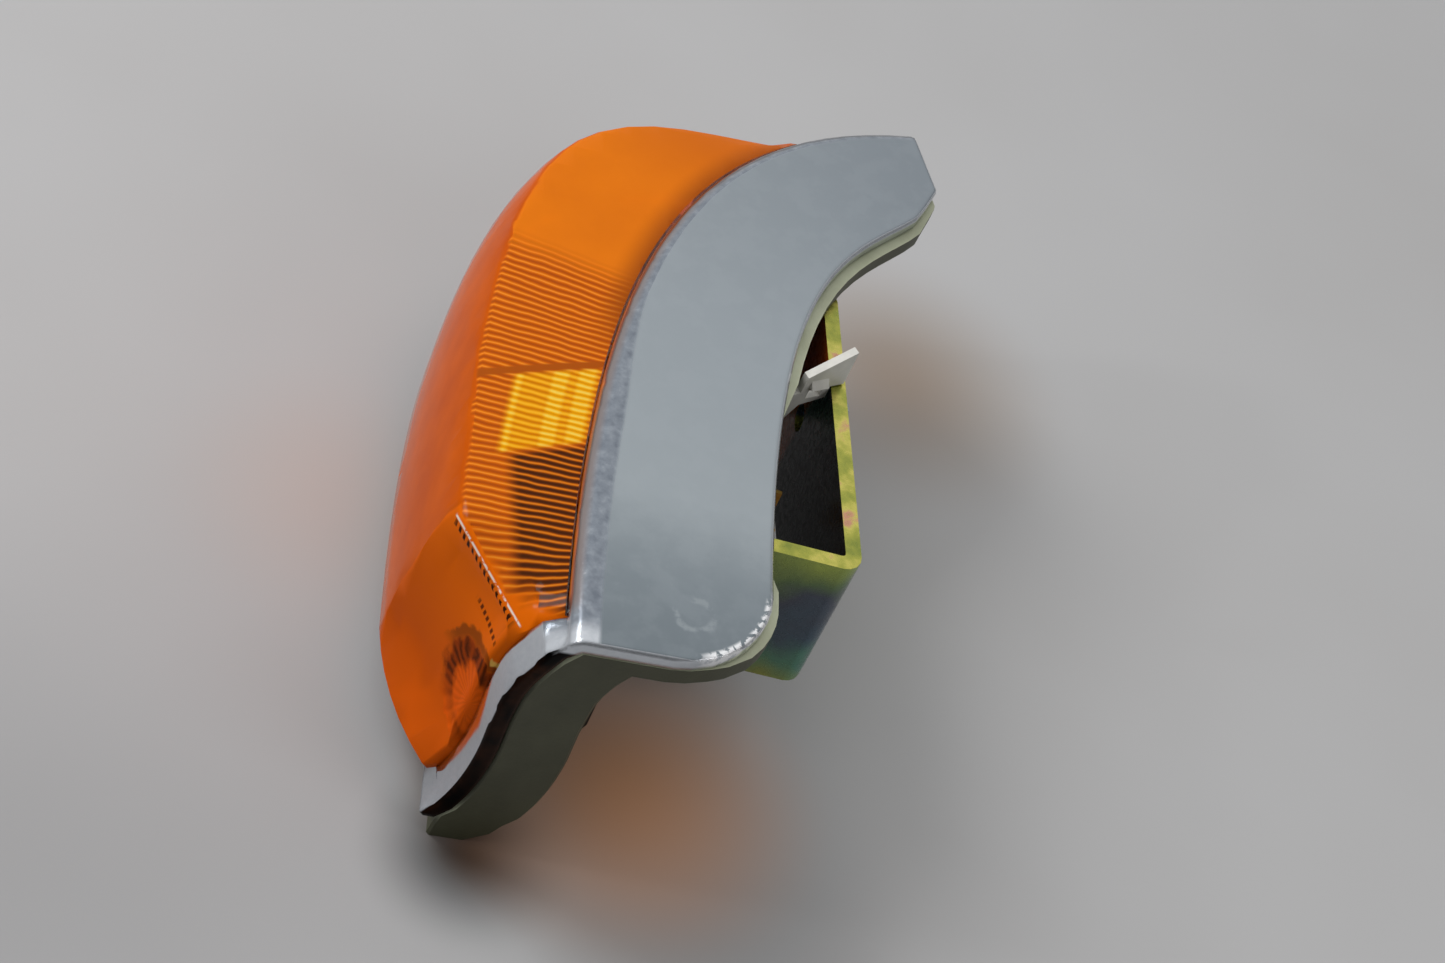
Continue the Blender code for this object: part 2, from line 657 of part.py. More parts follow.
def end_fold(along, corner):
    return min(1.0, max(0.0, (corner - along) / (corner - RIM_WIDTH)))


def boss_front(along, corner, corner_below):
    """How far forward the outside of the lens's front wall stands at a screw boss."""
    turn = corner + (corner_below - corner) * LENS_SCREW_DROP / SILL_DROP
    low, high = RIM_WIDTH, along
    for _ in range(40):
        middle = (low + high) / 2
        if lower_along(middle, corner, turn) > along:
            high = middle
        else:
            low = middle
    section = Section(along)
    height = section.at(0, LENS_SCREW_DROP).z
    walls = [front for front, _ in lens_rows(low, corner, corner_below)[WALL_ROW:WALL_ROW + len(WALL_DROPS)]]
    above, under = next((a, b) for a, b in zip(walls, walls[1:]) if b.z <= height)
    place = above.lerp(under, (above.z - height) / (above.z - under.z))
    return (place.to_2d() - section.point).dot(section.front)


def seal_front(section, drop):
    """The seal's front face: behind the lens's flange, and behind the lens's top wall at the top."""
    top = section.face(PLATE_THICKNESS + FIT)
    behind = (top if drop < 0.0080 else section.face(drop)) - BEZEL_WALL - FIT - LENS_FLANGE
    return behind - FIT


def build_seal():
    """A soft strip all round, squeezed between the lens's flange and the tray's front edge."""
    near = RIM_WIDTH - LENS_FLANGE_WIDTH - 0.0008
    far = LENGTH - FAR_RIM_WIDTH + LENS_FLANGE_WIDTH + 0.0008
    stations = [Section(s) for s in
                [near, near + SEAL_WIDTH, *steps(near + SEAL_WIDTH, far - SEAL_WIDTH, 0.0090)[1:], far]]
    top = PLATE_THICKNESS + 2 * FIT
    drops = [top, top + SEAL_WIDTH, *WALL_DROPS, SILL_DROP, RAIL_DROP, SILL_DROP + SEAL_WIDTH]
    grid = []
    for section in stations:
        grid.append([[section.at(seal_front(section, d), d),
                      section.at(seal_front(section, d) - SEAL_DEPTH, d)] for d in drops])
    last, sill_row = len(stations) - 2, drops.index(SILL_DROP)
    strip = blocks(grid, lambda i, j, k: i in (0, last) or j == 0 or j >= sill_row)
    return add_object("lens_seal", strip, SOFT)


def gasket_ledge(along):
    """How far the gasket stands out past the plate: round the near corner and behind the far half."""
    start, fall, rise = LEDGE_RISES
    near = ease(along / start) * ease((LEDGE_GAP[0] - along) / fall)
    return GASKET_LEDGE * (0.85 * near + ease((along - LEDGE_GAP[1]) / rise))


def build_gasket():
    """The rubber base: a flange under the plate, and walls under the near end, bottom rail and far tip."""
    ends = [0.0, EDGE_EASE, 0.0018, GASKET_WALL]
    corner = steps(GASKET_WALL, LEDGE_GAP[0] - LEDGE_RISES[1], 0.0032)[1:]
    middle = steps(LEDGE_GAP[0], LENGTH - 0.0200, 0.0075)
    tip = steps(LENGTH - 0.0200, LENGTH - GASKET_WALL, 0.0050)[1:]
    stations = [Section(s) for s in ends + corner + middle + tip + [LENGTH - EDGE_EASE, LENGTH]]
    under = PLATE_THICKNESS + FIT
    drops = [under, under + FLANGE_THICKNESS, *SIDE_DROPS, RAIL_DROP, GASKET_RAIL_DROP,
             (GASKET_RAIL_DROP + GASKET_DROP) / 2, GASKET_DROP]
    wall_row = drops.index(GASKET_RAIL_DROP)
    grid = []
    for section in stations:
        end = min(1.0, section.along / GASKET_WALL, (LENGTH - section.along) / GASKET_WALL)
        shrink = EDGE_EASE if section.along in (0.0, LENGTH) else 0.0
        rows = []
        for n, drop in enumerate(drops):
            front = section.face(drop) - BEZEL_WALL - FIT
            back = section.face(drop) - BEZEL_WALL - FIT - GASKET_DEPTH
            if n < 2:
                back += (-TRAY_REAR - FIT - back) * end
            sweep = max(0.0, (drop - BEZEL_DROP) / (GASKET_DROP - BEZEL_DROP))
            back += 0.0050 * sweep * sweep + (shrink if n > 1 else 0.0)
            rear = -section.width() - gasket_ledge(section.along)
            rows.append([section.at(front - shrink, drop), section.at(back, drop),
                         section.at(rear + shrink, drop)])
        grid.append(rows)
    last = len(stations) - 4

    def present(i, j, k):
        if k == 1:
            return j == 0
        return i < 3 or i > last or j >= wall_row

    gasket = add_object("base_gasket", blocks(grid, present), RUBBER, 30)
    for along in PILLARS_ALONG:
        place = Section(along).at(-PILLAR_BACK, 0)
        combine(gasket, upright_round(place, PILLAR_RADIUS + FIT, -FIT, PLATE_TOP), "DIFFERENCE")
    return gasket


def tray_far():
    return LENGTH - FAR_RIM_WIDTH + 2 * LENS_FLANGE_WIDTH


def tray_back(section, drop):
    """How far behind the crease the tray's rear wall lies: its near end is shallow, inside the gasket."""
    shallow = -(seal_front(section, drop) - SEAL_DEPTH - FIT - TRAY_END_DEPTH)
    share = min(1.0, max(0.0, (section.along - GASKET_WALL) / (TRAY_RAMP - GASKET_WALL)))
    return shallow + (TRAY_REAR - shallow) * share


def build_tray():
    """The lamp's housing: a shallow tray, open to the lens, with ears for the bezel's pillars."""
    near, far = GASKET_WALL + FIT, tray_far()
    stations = [Section(s) for s in
                [near, near + TRAY_WALL, *steps(near + TRAY_WALL, TRAY_RAMP, 0.0080)[1:],
                 *steps(TRAY_RAMP, far - TRAY_WALL, 0.0080)[1:], far]]
    top = PLATE_THICKNESS + FIT
    drops = [top, top + TRAY_WALL, top + FIT + SEAL_WIDTH, *WALL_DROPS, TRAY_DROP - TRAY_WALL, TRAY_DROP]
    grid = []
    for section in stations:
        grid.append([[section.at(seal_front(section, d) - SEAL_DEPTH - FIT, d),
                      section.at(TRAY_WALL - tray_back(section, d), d),
                      section.at(-tray_back(section, d), d)] for d in drops])
    last_i, last_j = len(stations) - 2, len(drops) - 2
    walls = blocks(grid, lambda i, j, k: k == 1 or i in (0, last_i) or j in (0, last_j))
    tray = add_object("lamp_tray", walls, BLACK, 30)
    for along in PILLARS_ALONG:
        section = Section(along)
        half = EAR_WIDTH / 2
        low = PILLAR_DROP + FIT
        ear = slab(section, (TRAY_WALL / 2 - TRAY_REAR, -PILLAR_BACK - half), (low, low + EAR_THICKNESS),
                   (-half, half))
        combine(tray, ear, "UNION")
        place = section.at(-PILLAR_BACK, 0)
        hole = upright_round(place, SCREW_RADIUS + FIT, PLATE_TOP - low - 0.0040, PLATE_TOP - low + 0.0010)
        combine(tray, hole, "DIFFERENCE")
    bulb = Section(BULB_ALONG)
    combine(tray, rod(bulb, BULB_DROP, HOLDER_FLANGE_RADIUS + 2 * FIT, -TRAY_REAR - PAD_HEIGHT,
                      -TRAY_REAR + TRAY_WALL / 2), "UNION")
    combine(tray, rod(bulb, BULB_DROP, sleeve_radius() + FIT, -TRAY_REAR - 0.002, -TRAY_REAR + 0.004),
            "DIFFERENCE")
    for along in LENS_SCREWS_ALONG:
        combine(tray, rod(Section(along), LENS_SCREW_DROP, SCREW_RADIUS + FIT, -TRAY_REAR - 0.002,
                          -TRAY_REAR + 0.004), "DIFFERENCE")
    for section in foot_screw_sections():
        combine(tray, rod(section, BULB_DROP, SCREW_RADIUS + FIT, -TRAY_REAR - 0.002, -TRAY_REAR + 0.004),
                "DIFFERENCE")
    return tray


def rod(section, drop, radius, back, front, sides=ROUND):
    return lathe([(0, back), (radius, back), (radius, front), (0, front)], section, drop, sides)


# Bulb and holder

def sleeve_radius():
    return CAP_RADIUS + FIT + SLEEVE_WALL


def build_reflector():
    """A bright C-shaped sheet: over, behind and under the bulb."""
    section = Section(BULB_ALONG)
    back = -TRAY_REAR + TRAY_WALL + FIT
    half, sheet = REFLECTOR_WIDTH / 2, REFLECTOR_SHEET
    top, bottom, front, bend = REFLECTOR_TOP_DROP, REFLECTOR_BOTTOM_DROP, REFLECTOR_FRONT, 0.0020
    outline = [(front, top), (back + bend, top), (back, top + bend), (back, bottom - bend),
               (back + bend, bottom), (front, bottom), (front, bottom - sheet), (back + bend, bottom - sheet),
               (back + sheet, bottom - bend), (back + sheet, top + bend), (back + bend, top + sheet),
               (front, top + sheet)]
    low = [section.at(f, d, -half) for f, d in outline]
    side = Vector((section.side.x, section.side.y, 0)) * REFLECTOR_WIDTH
    item = add_object("reflector", prism(low, side), BRIGHT)
    combine(item, rod(section, BULB_DROP, sleeve_radius() + FIT, back - 0.002, back + 0.002), "DIFFERENCE")
    return item


def build_bulb():
    section = Section(BULB_ALONG)
    base = -CAP_FRONT + FIT
    neck, length = CAP_RADIUS - 0.0006, GLASS_FRONT - base
    profile = [(0, base), (neck, base), (neck, base + 0.12 * length)]
    centre = GLASS_FRONT - GLASS_RADIUS
    for step in range(8):
        angle = math.radians(-48 + 138 * step / 8)
        profile.append((GLASS_RADIUS * math.cos(angle), centre + GLASS_RADIUS * math.sin(angle)))
    profile.append((0, GLASS_FRONT))
    add_object("bulb_glass", lathe(profile, section, BULB_DROP, 24), CLEAR, 60)

    rear = -CAP_FRONT - CAP_LENGTH
    cap = [(0, -CAP_FRONT), (CAP_RADIUS, -CAP_FRONT), (CAP_RADIUS, rear + 0.0012),
           (CAP_RADIUS - 0.0010, rear), (0, rear)]
    add_object("bulb_cap", lathe(cap, section, BULB_DROP, 24), BRASS)
    add_object("bulb_contact", lathe([(0, rear - FIT), (0.0024, rear - FIT), (0.0016, rear - 0.0011),
                                      (0, rear - 0.0013)], section, BULB_DROP, 16), SOLDER)
    return rear - 0.0013


def build_sleeve(end):
    """The metal sleeve that takes the bulb's cap, with a collar on the reflector."""
    section = Section(BULB_ALONG)
    inner, outer = CAP_RADIUS + FIT, sleeve_radius()
    collar = -TRAY_REAR + TRAY_WALL + FIT + REFLECTOR_SHEET + FIT
    profile = [(inner, collar + 0.0014), (outer, collar + 0.0014), (outer + 0.0004, collar + SLEEVE_WALL),
               (outer + 0.0018, collar + SLEEVE_WALL), (outer + 0.0018, collar), (outer, collar),
               (outer, end), (inner, end)]
    return add_object("bulb_sleeve", lathe(profile, section, BULB_DROP, 24), ZINC)


def build_holder():
    """The white nylon holder: a cup behind the tray with a flange, and the tab that stands up from it."""
    section = Section(BULB_ALONG)
    front = -TRAY_REAR - PAD_HEIGHT - FIT
    rear = front - HOLDER_LENGTH
    bore = sleeve_radius() + FIT
    cup = [(0, rear), (HOLDER_RADIUS, rear), (HOLDER_RADIUS, front - HOLDER_FLANGE),
           (HOLDER_FLANGE_RADIUS, front - HOLDER_FLANGE), (HOLDER_FLANGE_RADIUS, front),
           (bore, front), (bore, rear + HOLDER_END), (0, rear + HOLDER_END)]
    holder = add_object("bulb_holder", lathe(cup, section, BULB_DROP, 24), NYLON)
    combine(holder, tab_mesh(), "UNION")
    window, lug = tab_window()
    combine(holder, window, "DIFFERENCE")
    combine(holder, lug, "UNION")
    return rear


def tab_frame():
    """The tab's root and tip from above, and the ways along it and out of its near face."""
    root, tip = Vector(TAB_ROOT), Vector(TAB_TIP)
    way = (tip - root).normalized()
    return root, tip, way, Vector((way.y, -way.x))


def on_tab(along, drop, aside):
    root, _, way, out = tab_frame()
    place = root + way * along + out * aside
    return Vector((place.x, place.y, PLATE_TOP - drop))


def window_top():
    return STRAP_TOP_DROP - 3 * FIT


def tab_mesh():
    """The tab: an upright blade that passes under the gasket's ledge and rests its tip on the strap."""
    root, tip, way, out = tab_frame()
    full = (tip - root).length
    edge = reach(root, way, REAR_EDGE) + 1.6 * GASKET_LEDGE  # it crosses the ledge at a slant
    under = PLATE_THICKNESS + FIT + FLANGE_THICKNESS + FIT
    rest = STRAP_TOP_DROP - FIT
    low = BULB_DROP - 0.0065
    web = window_top() + TAB_WINDOW_HEIGHT + TAB_WEB
    outline = [(0.0, low), (0.0, under + 3 * FIT), (edge - 5 * FIT, under + FIT), (edge + 2 * FIT, under),
               (edge + 3 * FIT, PLATE_THICKNESS), (full, -TAB_TOP_RISE), (full, rest), (0.86 * full, rest),
               (0.86 * full, web), (0.6 * full, web + TAB_WEB), (0.35 * full, low)]
    points = [on_tab(along, drop, -TAB_THICKNESS / 2) for along, drop in outline]
    return prism(points, Vector((out.x, out.y, 0)) * TAB_THICKNESS)


def tab_window():
    """Tools for the square window through the tab and the sloping lug above it."""
    _, _, way, out = tab_frame()
    near, far = TAB_WINDOW
    top = window_top()
    corners = ((near, top), (far, top), (far, top + TAB_WINDOW_HEIGHT), (near, top + TAB_WINDOW_HEIGHT))
    window = prism([on_tab(along, drop, -TAB_THICKNESS) for along, drop in corners],
                   Vector((out.x, out.y, 0)) * 2 * TAB_THICKNESS)
    half = TAB_THICKNESS / 2
    slope = ((top - TAB_RAMP_HEIGHT, half - FIT), (top - FIT, half + TAB_RAMP), (top - FIT, half - FIT))
    lug = prism([on_tab(near - FIT, drop, aside) for drop, aside in slope],
                Vector((way.x, way.y, 0)) * (far - near + 2 * FIT))
    return window, lug


def build_contacts(bulb_end, holder_rear):
    """The spring-loaded disc behind the bulb, its spring, and the two flat blades at the holder's rear."""
    section = Section(BULB_ALONG)
    disc_front = bulb_end - FIT
    disc_rear = disc_front - 0.0014
    radius = CAP_RADIUS - 0.0008
    disc = [(0, disc_front), (radius, disc_front), (radius, disc_rear), (0, disc_rear)]
    add_object("contact_disc", lathe(disc, section, BULB_DROP, 20), FIBRE)
    floor = holder_rear + HOLDER_END
    build_spring(section, disc_rear - FIT, floor + FIT)
    half = BLADE_THICKNESS / 2
    for name, aside in (("feed_blade", -BLADE_SPREAD), ("earth_blade", BLADE_SPREAD)):
        blade = slab(section, (holder_rear - FIT, holder_rear - FIT - BLADE_LENGTH),
                     (BULB_DROP - BLADE_WIDTH / 2, BULB_DROP + BLADE_WIDTH / 2),
                     (aside - half, aside + half))
        item = add_object(name, blade, BRASS)
        hole = blade_hole(section, holder_rear - FIT - BLADE_LENGTH * 0.6, aside)
        combine(item, hole, "DIFFERENCE")


def blade_hole(section, forward, aside):
    centre = section.at(forward, BULB_DROP, aside - 0.002)
    side = Vector((section.side.x, section.side.y, 0))
    front = Vector((section.front.x, section.front.y, 0))
    ring = []
    for n in range(10):
        angle = 2 * math.pi * n / 10
        ring.append(centre + (front * math.cos(angle) + Vector((0, 0, 1)) * math.sin(angle)) * 0.0009)
    return prism(ring, side * 0.004)


def build_spring(section, front, rear, radius=0.0042, wire=0.0004, turns=2.0):
    """A short coil between the contact disc and the holder's end."""
    turn = section.turned()
    steps_round = 30
    centre_front, centre_rear = front - wire, rear + wire
    bm = bmesh.new()
    rings = []
    for n in range(steps_round + 1):
        share = n / steps_round
        angle = 2 * math.pi * turns * share
        out = turn @ Vector((math.cos(angle), math.sin(angle), 0))
        axis = turn @ Vector((0, 0, 1))
        centre = section.at(centre_front + (centre_rear - centre_front) * share, BULB_DROP) + out * radius
        rings.append([bm.verts.new(centre + (out * math.cos(a) + axis * math.sin(a)) * wire)
                      for a in (2 * math.pi * m / 6 for m in range(6))])
    for a, b in zip(rings, rings[1:]):
        for m in range(6):
            bm.faces.new((a[m], a[(m + 1) % 6], b[(m + 1) % 6], b[m]))
    bm.faces.new(rings[0])
    bm.faces.new(rings[-1])
    return add_object("contact_spring", bm, ZINC)


# Strap bracket and screws

def strap_leg(x, slope):
    """Where a leg of the strap meets the tray's rear wall: the section there."""
    offset = -TRAY_REAR - FIT - STRAP_THICKNESS / 2
    rear = STRAP_REAR_Y - STRAP_THICKNESS / 2
    best = None
    for n in range(400):
        section = Section(LENGTH * n / 400)
        place = section.at(offset, 0)
        miss = abs(place.x - (x - slope * (rear - place.y)))
        if place.y < rear and (best is None or miss < best[0]):
            best = (miss, section.along)
    return best[1]


def near_leg_x():
    return STRAP_NEAR_X - STRAP_THICKNESS / 2


def far_leg_x():
    return STRAP_FAR_X + STRAP_THICKNESS / 2


def foot_screw_sections():
    near = strap_leg(near_leg_x(), STRAP_LEG_SLOPE) + STRAP_FOOT * 0.62
    far = strap_leg(far_leg_x(), 0.0) - STRAP_FOOT * 0.62
    return Section(near), Section(far)


def rounded(points, radius, count=4):
    """A plan path with each corner that turns sharply replaced by an arc."""
    path = [points[0]]
    for a, b, c in zip(points, points[1:], points[2:]):
        before, after = (a - b).normalized(), (c - b).normalized()
        angle = before.angle(after)
        if angle > math.radians(150):
            path.append(b)
            continue
        cut = radius / math.tan(angle / 2)
        centre = b + (before + after).normalized() * (radius / math.sin(angle / 2))
        start, end = b + before * cut - centre, b + after * cut - centre
        sweep = start.angle_signed(end)
        for n in range(count + 1):
            turn = -sweep * n / count
            path.append(centre + Vector((start.x * math.cos(turn) - start.y * math.sin(turn),
                                         start.x * math.sin(turn) + start.y * math.cos(turn))))
    path.append(points[-1])
    return path


def build_strap():
    """The bent steel strap: two feet on the tray, two legs and a base, with the clamp nut's bore."""
    offset = -TRAY_REAR - FIT - STRAP_THICKNESS / 2
    rear = STRAP_REAR_Y - STRAP_THICKNESS / 2
    near, far = strap_leg(near_leg_x(), STRAP_LEG_SLOPE), strap_leg(far_leg_x(), 0.0)
    foot_near = [Section(s).at(offset, 0).to_2d() for s in steps(near + STRAP_FOOT, near, 0.0040)]
    foot_far = [Section(s).at(offset, 0).to_2d() for s in steps(far, far - STRAP_FOOT, 0.0040)]
    base = [Vector((near_leg_x(), rear)), Vector((far_leg_x(), rear))]
    path = rounded(foot_near + base + foot_far, STRAP_BEND + STRAP_THICKNESS / 2)
    sides = ([], [])
    for n, place in enumerate(path):
        before = path[max(0, n - 1)]
        after = path[min(len(path) - 1, n + 1)]
        ways = [(b - a).normalized() for a, b in ((before, place), (place, after)) if (b - a).length > 0]
        way = sum(ways, Vector((0, 0))).normalized()
        normal = Vector((-way.y, way.x))
        stretch = 1 / max(0.5, normal.dot(Vector((-ways[0].y, ways[0].x))))
        for side, sign in zip(sides, (0.5, -0.5)):
            side.append(place + normal * STRAP_THICKNESS * sign * stretch)
    low = [Vector((p.x, p.y, PLATE_TOP - STRAP_BOTTOM_DROP)) for p in sides[0] + sides[1][::-1]]
    height = STRAP_BOTTOM_DROP - STRAP_TOP_DROP
    strap = add_object("strap_bracket", prism(low, Vector((0, 0, height))), CHROMATE, 30)
    for section in foot_screw_sections():
        combine(strap, rod(section, BULB_DROP, SCREW_RADIUS + FIT, -TRAY_REAR - 0.006, -TRAY_REAR + 0.001),
                "DIFFERENCE")
    bore = [Vector((CLAMP_NUT_X + (CLAMP_BORE_RADIUS + FIT) * math.cos(2 * math.pi * n / ROUND),
                    STRAP_REAR_Y - 2 * STRAP_THICKNESS,
                    clamp_height() + (CLAMP_BORE_RADIUS + FIT) * math.sin(2 * math.pi * n / ROUND)))
            for n in range(ROUND)]
    combine(strap, prism(bore, Vector((0, 3 * STRAP_THICKNESS, 0))), "DIFFERENCE")
    return strap


def clamp_height():
    return PLATE_TOP - (STRAP_TOP_DROP + STRAP_BOTTOM_DROP) / 2


def build_clamp_nut():
    """The hexagon nut on the strap's rear face, for the bolt that clamps the lamp to the vehicle."""
    bm = bmesh.new()
    reach_out = CLAMP_NUT_WIDTH / math.sqrt(3)
    rings = []
    for y in (STRAP_REAR_Y + FIT, STRAP_REAR_Y + FIT + CLAMP_NUT_HEIGHT):
        for radius in (reach_out, CLAMP_BORE_RADIUS):
            ring = []
            for n in range(18):
                angle = 2 * math.pi * n / 18
                out = radius
                if radius == reach_out:
                    flat = (angle + math.pi / 6) % (math.pi / 3) - math.pi / 6
                    out = CLAMP_NUT_WIDTH / 2 / math.cos(flat)
                ring.append(bm.verts.new((CLAMP_NUT_X + out * math.cos(angle), y,
                                          clamp_height() + out * math.sin(angle))))
            rings.append(ring)
    outer_low, inner_low, outer_high, inner_high = rings
    for a, b in ((outer_low, inner_low), (inner_low, inner_high), (inner_high, outer_high),
                 (outer_high, outer_low)):
        for n in range(18):
            bm.faces.new((a[n], a[(n + 1) % 18], b[(n + 1) % 18], b[n]))
    return add_object("clamp_nut", bm, ZINC)


def screw(name, section, drop, seat, reach_in):
    """A pan-head screw from the rear: its head stands on a seat, its shank goes forward."""
    profile = [(0, seat - SCREW_HEAD), (SCREW_HEAD_RADIUS * 0.62, seat - SCREW_HEAD),
               (SCREW_HEAD_RADIUS, seat - SCREW_HEAD * 0.45), (SCREW_HEAD_RADIUS, seat),
               (SCREW_RADIUS, seat), (SCREW_RADIUS, seat + reach_in - 0.0012), (0.0004, seat + reach_in),
               (0, seat + reach_in)]
    return add_object(name, lathe(profile, section, drop, 16), ZINC)


def build_screws():
    behind_tray = -TRAY_REAR - FIT
    for name, along in zip(("lens_screw_near", "lens_screw_far"), LENS_SCREWS_ALONG):
        screw(name, Section(along), LENS_SCREW_DROP, behind_tray, LENS_SCREW_LENGTH)
    for name, section in zip(("strap_screw_near", "strap_screw_far"), foot_screw_sections()):
        screw(name, section, BULB_DROP, behind_tray - STRAP_THICKNESS - FIT, STRAP_SCREW_LENGTH)
    for name, along in zip(("bezel_screw_near", "bezel_screw_far"), PILLARS_ALONG):
        upright_screw(name, Section(along).at(-PILLAR_BACK, 0))


def upright_screw(name, place):
    """A pan-head screw that goes up through an ear of the tray into a pillar of the bezel."""
    seat = PLATE_TOP - (PILLAR_DROP + FIT + EAR_THICKNESS + FIT)
    profile = [(0, -SCREW_HEAD), (SCREW_HEAD_RADIUS * 0.62, -SCREW_HEAD),
               (SCREW_HEAD_RADIUS, -SCREW_HEAD * 0.45), (SCREW_HEAD_RADIUS, 0), (SCREW_RADIUS, 0),
               (SCREW_RADIUS, BEZEL_SCREW_LENGTH - 0.0012), (0.0004, BEZEL_SCREW_LENGTH),
               (0, BEZEL_SCREW_LENGTH)]
    bm = bmesh.new()
    rings = []
    for radius, height in profile:
        count = 1 if radius == 0 else 16
        rings.append([bm.verts.new((place.x + radius * math.cos(2 * math.pi * n / 16),
                                    place.y + radius * math.sin(2 * math.pi * n / 16), seat + height))
                      for n in range(count)])
    for a, b in zip(rings, rings[1:]):
        for n in range(16):
            ends = (a[n % len(a)], a[(n + 1) % len(a)], b[(n + 1) % len(b)], b[n % len(b)])
            bm.faces.new(list(dict.fromkeys(ends)))
    return add_object(name, bm, ZINC)


def build_lamp():
    build_bezel()
    build_lens()
    build_seal()
    build_gasket()
    build_tray()
    build_reflector()
    bulb_end = build_bulb()
    holder_rear = build_holder()
    build_sleeve(holder_rear + HOLDER_END + FIT)
    build_contacts(bulb_end, holder_rear)
    build_strap()
    build_clamp_nut()
    build_screws()


clear_scene()
CHROME = finish("chrome plate", "B9C0C8", 0.18, 1.0)
AMBER = finish("amber acrylic", "E06A08", 0.12, 0.0, 0.75)
RUBBER = finish("olive-cream rubber", "A9AC8C", 0.6)
SOFT = finish("dark foam rubber", "2A2A2A", 0.9)
BLACK = finish("black moulded plastic", "1B1A1A", 0.55)
BRIGHT = finish("bright reflector sheet", "E6E0D4", 0.2, 1.0)
CLEAR = finish("clear glass", "F4F4F4", 0.05, 0.0, 0.35)
BRASS = finish("brass", "B9924A", 0.35, 1.0)
SOLDER = finish("solder", "9A9CA0", 0.4, 1.0)
ZINC = finish("zinc-plated steel", "9DA0A2", 0.35, 1.0)
NYLON = finish("white nylon", "E8E6E0", 0.45)
FIBRE = finish("insulating fibre", "6B3A22", 0.7)
CHROMATE = finish("yellow-passivated steel", "A79A4E", 0.35, 0.9)
build_lamp()
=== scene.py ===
import json
import math

import bmesh
import bpy
from mathutils import Matrix, Vector


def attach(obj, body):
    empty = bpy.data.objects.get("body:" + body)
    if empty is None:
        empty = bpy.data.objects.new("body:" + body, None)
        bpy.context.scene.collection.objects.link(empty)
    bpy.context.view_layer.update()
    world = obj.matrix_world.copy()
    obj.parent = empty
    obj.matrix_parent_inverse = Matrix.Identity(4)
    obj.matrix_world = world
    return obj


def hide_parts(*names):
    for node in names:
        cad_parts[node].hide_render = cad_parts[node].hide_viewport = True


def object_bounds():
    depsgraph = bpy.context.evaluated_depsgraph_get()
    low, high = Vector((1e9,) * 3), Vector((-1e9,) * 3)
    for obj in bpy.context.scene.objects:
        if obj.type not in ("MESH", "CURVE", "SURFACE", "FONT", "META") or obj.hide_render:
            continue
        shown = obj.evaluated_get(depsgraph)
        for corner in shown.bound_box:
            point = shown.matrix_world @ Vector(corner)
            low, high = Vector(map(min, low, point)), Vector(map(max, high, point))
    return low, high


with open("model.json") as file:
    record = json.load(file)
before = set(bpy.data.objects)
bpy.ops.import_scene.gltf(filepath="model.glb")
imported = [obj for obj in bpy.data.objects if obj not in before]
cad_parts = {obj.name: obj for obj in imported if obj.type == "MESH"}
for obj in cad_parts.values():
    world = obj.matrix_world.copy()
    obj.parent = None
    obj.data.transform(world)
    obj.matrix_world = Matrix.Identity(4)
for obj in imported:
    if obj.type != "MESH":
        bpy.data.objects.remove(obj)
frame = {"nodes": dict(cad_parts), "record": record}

# Looks of a corner indicator lamp: amber acrylic lens, chrome-plated die casting, rubber gasket,
# yellow-passivated steel strap and the small parts behind them. Lengths are in metres.

cad_low, cad_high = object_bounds()
nodes = frame["nodes"]

# Front edge of the bezel's top plate, seen from above: one cubic curve from the near end to the far tip
CREASE = [Vector(point) for point in ((0.0552, -0.0297), (-0.02291, -0.02602), (-0.08265, -0.01135),
                                      (-0.0938, 0.0420))]
PLATE_TOP = 0.0063
CORNER_CENTRE = (0.0362, -0.0150, PLATE_TOP)  # of the plate's rounded near corner
CORNER_RADIUS = 0.0190
DARK_BELOW = 0.0030  # height under which the near end's faces are in the dark
LOWEST_BEND = -0.0410  # below this height the bends lie too close together to be rounded
HAZE_GAP = 0.0024  # how much further back from the crease the haze ends at the lamp's near part
SMUDGE_CENTRE = (0.0450, -0.0105, PLATE_TOP)

# The lens, in distances along the crease and forward of it
RIB_PITCH = 0.0015
RIBBED = (0.0085, 0.0900)
DARK_INSIDE = (0.0080, 0.0475)
DARK_DEPTH = 0.0090
# where the painted glow of the lit reflector lies behind the lens, with its painted bright streaks and the
# darker strip beyond it
REFLECTOR = (0.0486, 0.0672)
REFLECTOR_DEPTH = (0.0030, 0.0176)
REFLECTOR_STREAKS = ((0.0038, 0.0066), (0.0084, 0.0110), (0.0162, 0.0172))
REFLECTOR_EDGE = (0.0676, 0.0694)

# The lens's slanting near facet: its upper corner, the ways along its ridge, out of it and down it
FACET_CORNER = Vector((0.0281, -0.0502, 0.0009))
FACET_RIDGE = (Vector((0.0467, -0.0383, -0.0021)) - FACET_CORNER).normalized()
FACET_OUT = Vector((0.53, -0.84, 0.10)).normalized()
FACET_DOWN = FACET_RIDGE.cross(FACET_OUT).normalized()
FACET_HEIGHT = 0.0340
RIDGE_LENGTH = 0.0210
# The screw boss and a glint beside it, in distances along the ridge and down the facet
BOSS_CENTRE = (0.0235, 0.0235, 0.0)
BOSS_RADIUS = 0.0108
BOSS_FINS = 24
GLINT_CENTRE = (0.0233, 0.0101, 0.0)


